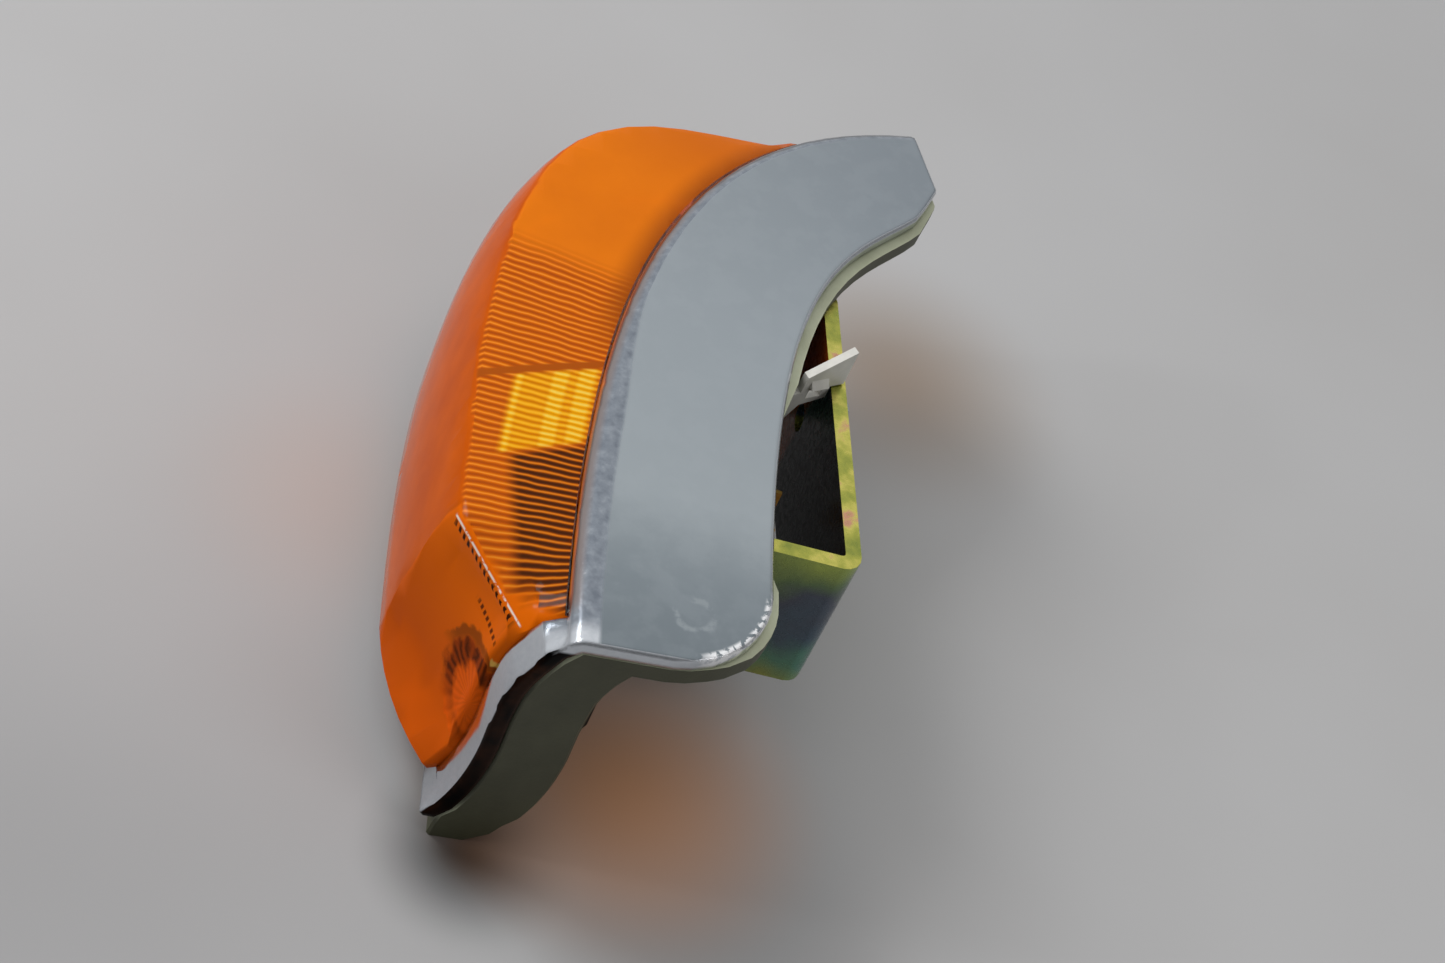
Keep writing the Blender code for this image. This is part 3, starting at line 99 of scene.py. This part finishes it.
def crease_samples(count=900):
    """Points of the crease with their directions and their distances from its near end."""
    samples, run, last = [], 0.0, CREASE[0]
    for step in range(count + 1):
        t = step / count
        point = sum((CREASE[k] * math.comb(3, k) * (1 - t) ** (3 - k) * t ** k for k in range(4)),
                    Vector((0.0, 0.0)))
        way = sum(((CREASE[k + 1] - CREASE[k]) * math.comb(2, k) * (1 - t) ** (2 - k) * t ** k
                   for k in range(3)), Vector((0.0, 0.0))).normalized()
        run += (point - last).length
        samples.append((point, way, run))
        last = point
    return samples


SAMPLES = crease_samples()


def lamp_place(x, y):
    """How far along the crease a place lies, how far forward of it, and the crease's direction there."""
    spot = Vector((x, y))
    point, way, run = min(SAMPLES, key=lambda sample: (sample[0] - spot).length_squared)
    offset = spot - point
    return run + offset.dot(way), offset.dot(Vector((-way.y, way.x))), way


def deselect_all():
    if bpy.context.object and bpy.context.object.mode != "OBJECT":
        bpy.ops.object.mode_set(mode="OBJECT")
    bpy.ops.object.select_all(action="DESELECT")


def cut_grid(piece, cell):
    """Cut the piece on a grid seen from above, so that its marked places stay true across wide faces."""
    for axis in (0, 1):
        spread = [vertex.co[axis] for vertex in bmesh.from_edit_mesh(piece.data).verts]
        at = math.ceil(min(spread) / cell) * cell
        while at < max(spread):
            point, way = [0.0] * 3, [0.0] * 3
            point[axis], way[axis] = at, 1.0
            bpy.ops.mesh.select_all(action="SELECT")
            bpy.ops.mesh.bisect(plane_co=point, plane_no=way)
            at += cell


def round_edges(piece, size, segments, chosen):
    """Round the edges that a rule picks by their turn in degrees, as a mould or a buffing wheel does."""
    bpy.ops.mesh.select_mode(type="EDGE")
    bpy.ops.mesh.select_all(action="DESELECT")
    shape = bmesh.from_edit_mesh(piece.data)
    for edge in shape.edges:
        edge.select = edge.is_manifold and chosen(edge, math.degrees(edge.calc_face_angle()))
    shape.select_flush_mode()
    bmesh.update_edit_mesh(piece.data)
    bpy.ops.mesh.bevel(offset=size, segments=segments, profile=0.5, clamp_overlap=True)


def at_bend(edge, turn):
    """The rim's and the gasket's gentle bends across their width."""
    start, end = [vertex.co for vertex in edge.verts]
    across = abs((end - start).normalized().x) > 0.7 and min(start.x, end.x) > 0.045
    return across and 4 < turn < 34 and LOWEST_BEND < start.z < 0.0


def on_rim(edge, turn):
    """The long sharp edges of the end rim, which is buffed rounder than the rest."""
    middle = (edge.verts[0].co + edge.verts[1].co) / 2
    along, forward, _ = lamp_place(middle.x, middle.y)
    return (edge.is_convex and turn > 50 and along < 0.0085 and forward > -0.0010
            and edge.calc_length() > 0.0008)


def outer(edge, turn):
    return edge.is_convex and turn > 35


def finished_copy(node, name, slot, smooth, roundings, cell=None):
    """A node's moulding or casting with its outer edges rounded, as its own piece in the node's place."""
    deselect_all()
    piece = nodes[node].copy()
    piece.data = nodes[node].data.copy()
    piece.name = piece.data.name = name
    bpy.context.scene.collection.objects.link(piece)
    bpy.context.view_layer.objects.active = piece
    piece.select_set(True)
    bpy.ops.object.mode_set(mode="EDIT")
    bpy.ops.mesh.select_all(action="SELECT")
    bpy.ops.mesh.remove_doubles(threshold=1e-6)
    bpy.ops.mesh.dissolve_limited(angle_limit=math.radians(0.4))
    for rounding in roundings:
        round_edges(piece, *rounding)
    if cell:
        cut_grid(piece, cell)
    bpy.ops.object.mode_set(mode="OBJECT")
    bpy.ops.object.shade_smooth_by_angle(angle=math.radians(smooth))
    flats = piece.modifiers.new("flats stay flat", "WEIGHTED_NORMAL")
    flats.keep_sharp = True
    bpy.ops.object.modifier_apply(modifier=flats.name)
    piece.data.materials.clear()
    piece.data.materials.append(FINISHES[slot])
    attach(piece, "root")
    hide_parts(node)
    return piece


def mark_places(piece):
    """Write how far along and forward of the crease each point lies, and which faces are outside ones."""
    along = piece.data.attributes.new("along", "FLOAT", "POINT")
    forward = piece.data.attributes.new("forward", "FLOAT", "POINT")
    outside = piece.data.attributes.new("outside", "FLOAT", "FACE")
    ways = []
    for at, vertex in enumerate(piece.data.vertices):
        along.data[at].value, forward.data[at].value, way = lamp_place(vertex.co.x, vertex.co.y)
        ways.append(way)
    for at, face in enumerate(piece.data.polygons):
        way = ways[face.vertices[0]]
        facing = face.normal.x * -way.y + face.normal.y * way.x
        outside.data[at].value = 1.0 if facing > -0.35 and face.normal.z > -0.5 else 0.0


def colour(hex_value):
    """An sRGB hex colour as linear RGBA."""
    levels = [int(hex_value[at:at + 2], 16) / 255 for at in (0, 2, 4)]
    return (*[v / 12.92 if v <= 0.04045 else ((v + 0.055) / 1.055) ** 2.4 for v in levels], 1.0)


def grey(level):
    return (level, level, level, 1.0)


def add_node(material, kind, settings, inputs, out=None):
    """A node with its settings and inputs. An input is a number, a hex colour or another node's output.
    It gives the named output, or else the first in use."""
    tree = material.node_tree
    node = tree.nodes.new("ShaderNode" + kind)
    for name, value in settings.items():
        if name == "stops":
            points = node.color_ramp.elements
            points.remove(points[1])
            for at, (place, shade) in enumerate(value):
                point = points.new(place) if at else points[0]
                point.position, point.color = place, colour(shade) if isinstance(shade, str) else shade
        else:
            setattr(node, name, value)
    for name, value in inputs.items():
        if isinstance(value, bpy.types.NodeSocket):
            tree.links.new(value, node.inputs[name])
        else:
            node.inputs[name].default_value = colour(value) if isinstance(value, str) else value
    return node.outputs[out] if out else next(socket for socket in node.outputs if socket.enabled)


def new_material(name, **settings):
    """A material and its shader, whose inputs are set by their names."""
    material = bpy.data.materials.new(name)
    material.use_nodes = True
    shader = material.node_tree.nodes["Principled BSDF"]
    for key, value in settings.items():
        shader.inputs[key.replace("_", " ").title().replace("Ior", "IOR")].default_value = value
    return material, shader


def join(material, shader, sources):
    """Let nodes drive the shader's inputs."""
    for name, source in sources.items():
        material.node_tree.links.new(source, shader.inputs[name])


def layered(material, base, *layers):
    """A shade with others laid over it, each where its share says."""
    for share, shade in layers:
        base = add_node(material, "Mix", {"data_type": "RGBA"}, {"Factor": share, "A": base, "B": shade})
    return base


def times(material, *shares):
    """The product of some shares."""
    result = shares[0]
    for share in shares[1:]:
        result = add_node(material, "Math", {"operation": "MULTIPLY"}, {0: result, 1: share})
    return result


def total(material, first, second, scale, offset=0.0):
    """first + second * scale + offset"""
    scaled = add_node(material, "Math", {"operation": "MULTIPLY_ADD"}, {0: second, 1: scale, 2: offset})
    return add_node(material, "Math", {"operation": "ADD"}, {0: first, 1: scaled})


def band(material, source, start, end, soft):
    """1 between two values of a measure and 0 outside, with soft edges. None leaves that side open."""
    return times(material, *[
        add_node(material, "MapRange", {"interpolation_type": "SMOOTHSTEP"},
                 {"Value": source, "From Min": edge - soft * way, "From Max": edge + soft * way})
        for edge, way in ((start, 1), (end, -1)) if edge is not None])


def waves(material, source, pitch):
    """A wave from 0 to 1 and back over each pitch of a length."""
    turns = add_node(material, "Math", {"operation": "MULTIPLY"}, {0: source, 1: math.tau / pitch})
    swing = add_node(material, "Math", {"operation": "SINE"}, {0: turns})
    return add_node(material, "Math", {"operation": "MULTIPLY_ADD"}, {0: swing, 1: 0.5, 2: 0.5})


def lumps(place, size, detail=4.0, roughness=0.55):
    """Inputs of a cloudy noise whose lumps are about the given size across."""
    return {"Vector": place, "Scale": 1.0 / size, "Detail": detail, "Roughness": roughness}


def lamp_fields(material):
    """Where a point lies and its three parts, and the three parts of the way that its face looks."""
    place = add_node(material, "TexCoord", {}, {}, "Object")
    facing = add_node(material, "NewGeometry", {}, {}, "Normal")
    parts = [list(add_node(material, "SeparateXYZ", {}, {"Vector": vector}).node.outputs)
             for vector in (place, facing)]
    return place, *parts


def chrome():
    """Chrome on a zinc casting, long in use: hazy blue-grey where it is wide and flat, still polished and
    finely pitted on the lip and round the edges, and painted black for shade where the rim turns down to the
    gasket."""
    material, shader = new_material("chrome plated zinc casting")
    place, (x, y, z), (facing_x, _, facing_z) = lamp_fields(material)
    along, forward = [add_node(material, "Attribute", {"attribute_name": name}, {}, "Fac")
                      for name in ("along", "forward")]
    # real pits are finer than the 1 mm of these, which are drawn coarser so that they show
    cloud, pits, wear, spots, patches, wipes, flecks, brown_glint_noise = [
        add_node(material, "TexNoise", {}, lumps(place, *sizes), "Fac")
        for sizes in ((0.016, 5.0, 0.6), (0.0011, 3.0, 0.65), (0.0022, 5.0, 0.6), (0.0030,), (0.0035,),
                      (0.0065, 5.0, 0.6), (0.0012,), (0.0060,))]
    haze_edge = total(material, forward, band(material, along, None, 0.070, 0.020), HAZE_GAP)
    flat = times(material, band(material, facing_z, 0.985, None, 0.008),
                 band(material, haze_edge, None, -0.0002, 0.0005))
    # the haze on the plate, from its near end to its far tip
    run = add_node(material, "MapRange", {},
                   {"Value": total(material, along, cloud, 0.016, -0.008), "From Max": 0.180})
    haze = add_node(material, "ValToRGB",
                    {"stops": ((0.03, "7C858B"), (0.10, "858E94"), (0.22, "A2AAAF"), (0.50, "9DA5AB"),
                               (0.95, "8A9299"))}, {"Fac": run})
    faint = add_node(material, "Math", {"operation": "MULTIPLY"}, {0: cloud, 1: 0.14})
    wiped = times(material, band(material, wipes, 0.52, None, 0.08), faint)
    haze = layered(material, haze, (wiped, "B4BBC0"))
    bright = add_node(material, "ValToRGB", {"stops": ((0.3, "C4C9CF"), (0.7, "CED2D8"))}, {"Fac": pits})
    worn = add_node(material, "ValToRGB",
                    {"stops": ((0.30, "747B85"), (0.55, "8B929B"), (0.68, "99A0A8"), (0.78, "C2C7CD"))},
                    {"Fac": wear})
    lip = times(material, band(material, along, 0.0040, None, 0.0020),
                band(material, forward, -0.0060, None, 0.0010), band(material, facing_z, 0.55, None, 0.1))
    # painted warm reflection caught by the lip beside the seam, and painted amber light from the lens low in
    # the seam itself
    painted_warm_reflection = times(material, band(material, forward, 0.0010, None, 0.0008),
                 band(material, along, 0.0080, 0.1500, 0.0020))
    painted_seam_amber = times(material, painted_warm_reflection, band(material, facing_z, None, 0.5, 0.1),
                 band(material, z, -0.0010, None, 0.0005), band(material, along, 0.0100, 0.1500, 0.0020))
    # the smudge near the corner: a thin dried ring about 7 mm across
    reach = add_node(material, "VectorMath", {"operation": "DISTANCE"}, {0: place, 1: SMUDGE_CENTRE}, "Value")
    ragged = total(material, reach, spots, 0.0022, -0.0011)
    smudge = times(material, band(material, ragged, 0.0028, 0.0040, 0.0004),
                   band(material, patches, 0.48, None, 0.06), flat)
    # painted highlights: bright glints along the plate's edge round its near corner, broken up like pits
    reach = add_node(material, "VectorMath", {"operation": "DISTANCE"}, {0: place, 1: CORNER_CENTRE}, "Value")
    painted_corner_glints = times(material, band(material, reach, CORNER_RADIUS - 0.0012, CORNER_RADIUS + 0.0006, 0.0004),
                   band(material, y, -0.0090, 0.0045, 0.0020), band(material, x, 0.0385, None, 0.0020),
                   band(material, flecks, 0.47, None, 0.05))
    # the near end's faces below the plate, which stand in the dark
    below = times(material, band(material, z, None, DARK_BELOW, 0.0004),
                  band(material, facing_x, 0.62, None, 0.10))
    # painted dark reflection and shade on these faces, with brown glints of amber light
    black = add_node(material, "ValToRGB", {"stops": ((0.35, "0B0908"), (0.62, "2E1A10"), (0.72, "0D0B0A"))},
                     {"Fac": brown_glint_noise})
    bump = add_node(material, "Bump", {},
                    {"Strength": 0.06, "Distance": 0.0001, "Height": pits,
                     "Normal": add_node(material, "Bevel", {"samples": 6}, {"Radius": 0.0011})})
    join(material, shader, {
        "Base Color": layered(material, bright, (lip, worn), (painted_warm_reflection, "908583"), (flat, haze),
                              (smudge, "959DA2"), (painted_corner_glints, "FCFDFF"), (painted_seam_amber, "F07A10"), (below, black)),
        "Metallic": layered(material, grey(1.0), (painted_seam_amber, grey(0.0))),
        "Roughness": layered(material, grey(0.10), (flat, grey(0.36))),
        "Normal": bump})
    return material


def amber():
    """Injection-moulded amber acrylic, glossy and clear, with what shows through painted on: the ribs inside
    its top wall, the glow of the lit reflector as painted light, the housing's dark and its shade, and the
    screw boss. Its shine is low, so the amber stays deep."""
    material, shader = new_material("amber acrylic moulding", roughness=0.045, ior=1.49,
                                    specular_ior_level=0.005)
    place, _, (facing_x, _, facing_z) = lamp_fields(material)
    along, forward, outside = [add_node(material, "Attribute", {"attribute_name": name}, {}, "Fac")
                               for name in ("along", "forward", "outside")]
    sway, flow, swirl, ragged, twist, highlight_breaks = [
        add_node(material, "TexNoise", {}, lumps(place, *sizes), "Fac")
        for sizes in ((0.010, 2.0), (0.020,), (0.012,), (0.0045,), (0.0050,), (0.0009,))]
    # the top wall, seen from above
    rib = waves(material, total(material, along, sway, 0.0014, -0.0007), RIB_PITCH)
    plain_ribs, dark_ribs, amber_ribs, bright_ribs = [
        add_node(material, "ValToRGB", {"stops": stops}, {"Fac": rib})
        for stops in (((0.0, "B85004"), (0.45, "D66004"), (0.85, "F07A08"), (1.0, "FC9826")),
                      ((0.0, "4A2003"), (0.5, "6C3003"), (0.80, "BC5A04"), (1.0, "E88418")),
                      ((0.0, "D87A04"), (0.5, "F29C08"), (1.0, "FFBC24")),
                      ((0.0, "E89806"), (0.5, "FFB814"), (1.0, "FFD858")))]
    smooth = add_node(material, "ValToRGB", {"stops": ((0.3, "EE7A04"), (0.7, "F88204"))}, {"Fac": flow})
    ribbed = band(material, along, *RIBBED, 0.0040)
    # what stands behind the lens is seen askew: its edges slant across the ribs
    slant = total(material, along, forward, 0.47)
    depth = total(material, forward, along, -0.16)
    # beside the bezel's lip the lens is in its shade
    shaded = times(material, band(material, forward, None, 0.0052, 0.0034),
                   band(material, along, 0.0760, None, 0.0100))
    # painted dark of the housing behind the lens, dark itself and in its shade
    dark = times(material, band(material, slant, *DARK_INSIDE, 0.0010),
                 band(material, depth, None, DARK_DEPTH, 0.0016))
    # painted glow of the lit reflector behind the lens, with painted bright streaks
    reflector = times(material, band(material, slant, *REFLECTOR, 0.0008),
                      band(material, forward, *REFLECTOR_DEPTH, 0.0008))
    streaks = [(times(material, reflector, band(material, forward, start, end, 0.0005)), bright_ribs)
               for start, end in REFLECTOR_STREAKS]
    far_end = band(material, along, 0.1280, None, 0.0160)
    edge = times(material, band(material, slant, *REFLECTOR_EDGE, 0.0004), ribbed)
    top_shade = layered(material, smooth, (far_end, "DA6C04"), (ribbed, plain_ribs), (shaded, "AC5204"),
                        (dark, dark_ribs), (reflector, amber_ribs), *streaks, (edge, "B85608"))
    # the near facet: how far a place lies along its ridge and down from it
    offset = add_node(material, "VectorMath", {"operation": "SUBTRACT"}, {0: place, 1: tuple(FACET_CORNER)})
    beside, down = [
        add_node(material, "VectorMath", {"operation": "DOT_PRODUCT"}, {0: offset, 1: tuple(way)}, "Value")
        for way in (FACET_RIDGE, FACET_DOWN)]
    on_facet = add_node(material, "CombineXYZ", {}, {"X": beside, "Y": down})
    facet = band(material, facing_x, 0.18, None, 0.08)
    fall = add_node(material, "MapRange", {}, {"Value": down, "From Max": FACET_HEIGHT})
    # the dark ends of the ribs under its ridge, and a row of dashes further down
    teeth = times(material, band(material, facing_z, None, 0.42, 0.05),
                  band(material, down, 0.0004, 0.0022, 0.0003),
                  band(material, beside, 0.0, RIDGE_LENGTH, 0.0010),
                  band(material, waves(material, beside, RIB_PITCH), 0.5, None, 0.15))
    dashes = times(material, band(material, down, 0.0079, 0.0089, 0.0002),
                   band(material, beside, 0.0120, RIDGE_LENGTH, 0.0010),
                   band(material, waves(material, beside, 0.0012), 0.4, None, 0.2))
    # the screw boss behind it: fins like a fan, dark towards its ragged edge
    centre = add_node(material, "VectorMath", {"operation": "SUBTRACT"}, {0: on_facet, 1: BOSS_CENTRE})
    across, below, _ = add_node(material, "SeparateXYZ", {}, {"Vector": centre}).node.outputs
    angle = add_node(material, "Math", {"operation": "ARCTAN2"}, {0: below, 1: across})
    fins = waves(material, total(material, angle, twist, 0.5), math.tau / BOSS_FINS)
    reach = add_node(material, "VectorMath", {"operation": "LENGTH"}, {0: centre}, "Value")
    reach = total(material, reach, ragged, 0.0056, -0.0028)
    boss = band(material, reach, None, BOSS_RADIUS - 0.0004, 0.0005)
    ring = times(material, band(material, reach, BOSS_RADIUS - 0.0038, BOSS_RADIUS, 0.0010),
                 band(material, down, 0.0, 0.0300, 0.0040))
    halo = times(material, band(material, reach, BOSS_RADIUS, BOSS_RADIUS + 0.0022, 0.0005),
                 band(material, down, 0.0, 0.0210, 0.0030))
    far = add_node(material, "VectorMath", {"operation": "DISTANCE"}, {0: on_facet, 1: GLINT_CENTRE}, "Value")
    glint = band(material, far, None, 0.0007, 0.0003)
    wall = add_node(material, "ValToRGB", {"stops": ((0.3, "C65204"), (0.7, "D65E04"))}, {"Fac": swirl})
    wall = layered(material, wall, (facet, layered(material, "F87208", (fall, "DA5C0C"))), *[
        (times(material, share, facet), shade)
        for share, shade in ((boss, layered(material, "E25A06", (fins, "F0640A"))),
                             (ring, layered(material, "5A2404", (fins, "9A3C06"))),
                             (halo, "A04A0A"), (teeth, "3A1A06"), (dashes, "6E2E08"), (glint, "FFC860"))])
    # painted highlight along the ridge's rounded edge, broken in places
    painted_ridge_highlight = times(material, band(material, down, -0.0001, 0.0002, 0.0001),
                    band(material, beside, -0.0004, RIDGE_LENGTH + 0.0015, 0.0004),
                    band(material, highlight_breaks, 0.43, None, 0.06))
    top = band(material, facing_z, 0.80, None, 0.12)
    shade = layered(material, wall, (top, top_shade), (painted_ridge_highlight, "FFF0E4"))
    clear = layered(material, grey(0.07), (top, layered(material, grey(0.15), (reflector, grey(0.08)))))
    join(material, shader, {"Base Color": layered(material, "FFA028", (outside, shade)),
                            "Transmission Weight": layered(material, grey(1.0), (outside, clear))})
    return material


def rubber():
    """Moulded rubber, olive-cream: painted pale on its lit upturned ledge and darker down its shaded sides.
    """
    material, shader = new_material("olive-cream moulded rubber", roughness=0.55)
    place, _, (_, _, facing_z) = lamp_fields(material)
    cloud, grain = [add_node(material, "TexNoise", {}, lumps(place, *sizes), "Fac")
                    for sizes in ((0.012, 6.0, 0.65), (0.0007, 3.0))]
    # painted light and shade: pale where the ledge faces up, darker on the sides
    shaded_sides, lit_ledge = [add_node(material, "ValToRGB", {"stops": ((0.3, low), (0.7, high))}, {"Fac": cloud})
                   for low, high in (("434432", "4F503C"), ("B4B89A", "CACFB2"))]
    join(material, shader, {
        "Base Color": layered(material, shaded_sides, (band(material, facing_z, 0.35, None, 0.2), lit_ledge)),
        "Normal": add_node(material, "Bump", {}, {"Strength": 0.25, "Distance": 0.0002, "Height": grain})})
    return material


def chromate():
    """Yellow chromate over zinc: thin-film colours that drift from gold-green to purple and teal, with
    painted light on its upturned edges. The loop's inside is painted shade, with painted amber light at its
    far end."""
    material, shader = new_material("yellow passivated steel")
    place, (x, _, z), (_, facing_y, facing_z) = lamp_fields(material)
    drift, blotches, fine = [add_node(material, "TexNoise", {}, lumps(place, *sizes), "Fac")
                             for sizes in ((0.022, 3.0), (0.007,), (0.0015,))]
    height = total(material, z, drift, 0.028, -0.014)
    film = add_node(material, "MapRange", {}, {"Value": height, "From Min": -0.036, "From Max": 0.002})
    face = add_node(material, "ValToRGB",
                    {"stops": ((0.0, "A8B45C"), (0.22, "6A9C86"), (0.42, "5C6E7C"), (0.58, "5E6470"),
                               (0.74, "748A62"), (1.0, "AEBE62"))}, {"Fac": film})
    # the upturned edges: their film colours made brighter as painted light
    edge = add_node(material, "ValToRGB",
                    {"stops": ((0.30, "7E8A40"), (0.46, "A6A84C"), (0.56, "C8C062"), (0.64, "C8927A"),
                               (0.74, "98A04A"))}, {"Fac": blotches})
    # painted shade inside the loop, and painted amber light at its far end
    back = band(material, facing_y, None, -0.6, 0.1)
    painted_amber_glow = times(material, back, band(material, x, None, -0.0290, 0.0020))
    join(material, shader, {
        "Base Color": layered(material, face, (back, "080504"), (painted_amber_glow, "B04C06"),
                              (band(material, facing_z, 0.6, None, 0.15), edge)),
        "Metallic": layered(material, grey(0.85), (back, grey(0.0))),
        "Specular IOR Level": layered(material, grey(0.5), (back, grey(0.12))),
        "Roughness": add_node(material, "ValToRGB", {"stops": ((0.3, grey(0.18)), (0.7, grey(0.38)))},
                              {"Fac": fine}),
        "Normal": add_node(material, "Bump", {}, {"Strength": 0.12, "Distance": 0.0001, "Height": fine})})
    return material


def plain(name, low, high, **settings):
    """A moulded or plated small part: two close tones in a fine noise."""
    material, shader = new_material(name, **settings)
    place = add_node(material, "TexCoord", {}, {}, "Object")
    cloud = add_node(material, "TexNoise", {}, lumps(place, 0.003), "Fac")
    tone = add_node(material, "ValToRGB", {"stops": ((0.35, low), (0.65, high))}, {"Fac": cloud})
    join(material, shader, {"Base Color": tone})
    return material


FINISHES = {
    "chrome plate": chrome(),
    "amber acrylic": amber(),
    "olive-cream rubber": rubber(),
    # foamed and cut: dead matt, near black
    "dark foam rubber": plain("dark foam rubber", "1E1E1E", "2E2D2B", roughness=0.9),
    # moulded housing: a dull black that the daylight hardly reaches
    "black moulded plastic": plain("black moulded plastic", "0B0A0A", "131111", roughness=0.6,
                                   specular_ior_level=0.2),
    # pressed and metallised: warm white with a soft gleam
    "bright reflector sheet": plain("bright reflector sheet", "E4DCCB", "F2ECE0", metallic=0.6,
                                    roughness=0.25),
    # blown glass: clear and glossy
    "clear glass": plain("clear bulb glass", "F4F4F2", "FFFFFF", roughness=0.0, ior=1.47,
                         transmission_weight=1.0),
    # drawn sheet: dull yellow metal
    "brass": plain("brass", "A8843E", "C2A05A", metallic=1.0, roughness=0.3),
    # a cooled drop: grey and satin
    "solder": plain("solder", "8E9094", "A4A6AA", metallic=1.0, roughness=0.4),
    # cold-headed and plated: cool grey metal with a soft shine
    "zinc-plated steel": plain("zinc-plated steel", "8E9194", "A8ABAE", metallic=1.0, roughness=0.35),
    # moulded: off-white with a low shine
    "white nylon": plain("white nylon", "D8D6CF", "E6E4DC", roughness=0.4),
    # punched sheet: red-brown and matt
    "insulating fibre": plain("insulating fibre", "5A311E", "6E3F28", roughness=0.7),
    "yellow-passivated steel": chromate(),
}


def dress_nodes():
    for row in frame["record"]["subparts"]:
        for slot in nodes[row["node"]].material_slots:
            slot.material = FINISHES[row["material_slot"]]


def build_pieces():
    """The mouldings whose edges catch the light, with their outer edges rounded as the real ones are."""
    mark_places(finished_copy("lens", "lens_moulding", "amber acrylic", 60.0, [], 0.006))
    mark_places(finished_copy("bezel", "bezel_casting", "chrome plate", 62.0,
                              [(0.0026, 3, at_bend), (0.0007, 2, on_rim), (0.00022, 2, outer)], 0.005))
    finished_copy("base_gasket", "gasket_moulding", "olive-cream rubber", 45.0,
                  [(0.0022, 3, at_bend), (0.0004, 2, outer)])
    finished_copy("strap_bracket", "strap_pressing", "yellow-passivated steel", 40.0, [(0.0003, 2, outer)])


# Shadow under the lamp's near end and towards the viewer, and amber light that the lens throws on the table:
# centre, reach, share in the middle, shade
TABLE_SPOTS = (((0.060, 0.009, 0.0), 0.046, 0.50, "7E7E80"), ((0.075, -0.115, 0.0), 0.110, 0.38, "7A7A7C"),
               ((0.058, -0.034, 0.0), 0.022, 0.97, "151311"), ((0.038, -0.006, 0.0), 0.044, 0.90, "E8A87A"),
               ((-0.085, 0.060, 0.0), 0.045, 0.80, "94806E"), ((-0.020, -0.062, 0.0), 0.040, 0.14, "D8A07C"))


def build_floor():
    """The table top, matt and a cloudy pale grey, with the lamp's shadow and its glow."""
    deselect_all()
    bpy.ops.mesh.primitive_plane_add(size=6.0, location=(0.0, 0.0, cad_low.z))
    floor = bpy.context.object
    floor.name = "floor"
    material, shader = new_material("pale table", roughness=0.75)
    place = add_node(material, "TexCoord", {}, {}, "Object")
    cloud = add_node(material, "TexNoise", {}, lumps(place, 0.16, 3.0), "Fac")
    table = add_node(material, "ValToRGB", {"stops": ((0.3, "B5B4B4"), (0.7, "BBBBBC"))}, {"Fac": cloud})
    for centre, reach, share, shade in TABLE_SPOTS:
        far = add_node(material, "VectorMath", {"operation": "DISTANCE"}, {0: place, 1: centre}, "Value")
        near = add_node(material, "MapRange", {"interpolation_type": "SMOOTHSTEP"},
                        {"Value": far, "From Min": reach, "From Max": 0.0, "To Max": share})
        table = layered(material, table, (near, shade))
    join(material, shader, {"Base Color": table})
    floor.data.materials.append(material)


def build_light():
    """Soft light from beyond the lamp's far end, as from a window, in a room that is darker this side."""
    world = bpy.data.worlds.new("room")
    bpy.context.scene.world = world
    world.use_nodes = True
    way = add_node(world, "TexCoord", {}, {}, "Generated")
    window = (-0.68, -0.25, 0.69)
    toward = add_node(world, "VectorMath", {"operation": "DOT_PRODUCT"}, {0: way, 1: window}, "Value")
    share = add_node(world, "MapRange", {}, {"Value": toward, "From Min": -1.0})
    sky = add_node(world, "ValToRGB", {"stops": [(at, grey(level)) for at, level in (
        (0.0, 0.10), (0.45, 0.15), (0.65, 0.34), (0.85, 0.85), (1.0, 1.0))]}, {"Fac": share})
    back = world.node_tree.nodes["Background"]
    back.inputs["Strength"].default_value = 0.95
    join(world, back, {"Color": sky})
    for name, place, aim, size, power in (
            ("window", (-0.45, -0.62, 0.70), (0.0, 0.0, 0.0), 0.40, 4.0),
            ("lamp in front", (-0.005, -0.780, 0.425), (0.038, -0.044, 0.0), 0.06, 0.5),
            ("lamp behind", (0.40, 0.56, 0.55), (0.0, 0.0, 0.0), 0.36, 0.9)):
        lamp = bpy.data.lights.new(name, "AREA")
        lamp.size = size
        lamp.energy = power
        item = bpy.data.objects.new(name, lamp)
        bpy.context.scene.collection.objects.link(item)
        item.location = place
        item.rotation_euler = (Vector(aim) - Vector(place)).to_track_quat("-Z", "Y").to_euler()


def build_camera():
    """The photo's viewing place: about 44 degrees above the lamp's top plate, rolled."""
    right = Vector((0.03699, 0.94839, 0.31493))
    up = Vector((-0.73915, -0.18612, 0.64732))
    back = Vector((0.67253, -0.25673, 0.69412))
    camera = bpy.data.cameras.new("camera")
    camera.lens = 67.27
    camera.sensor_width = 36.0
    camera.clip_start, camera.clip_end = 0.01, 10.0
    item = bpy.data.objects.new("camera", camera)
    bpy.context.scene.collection.objects.link(item)
    placing = Matrix((right, up, back)).transposed().to_4x4()
    placing.translation = Vector((0.3311, -0.1257, 0.3342))
    item.matrix_world = placing
    bpy.context.scene.camera = item


dress_nodes()
build_pieces()
build_floor()
build_light()
build_camera()
bpy.context.scene.view_settings.view_transform = "Standard"
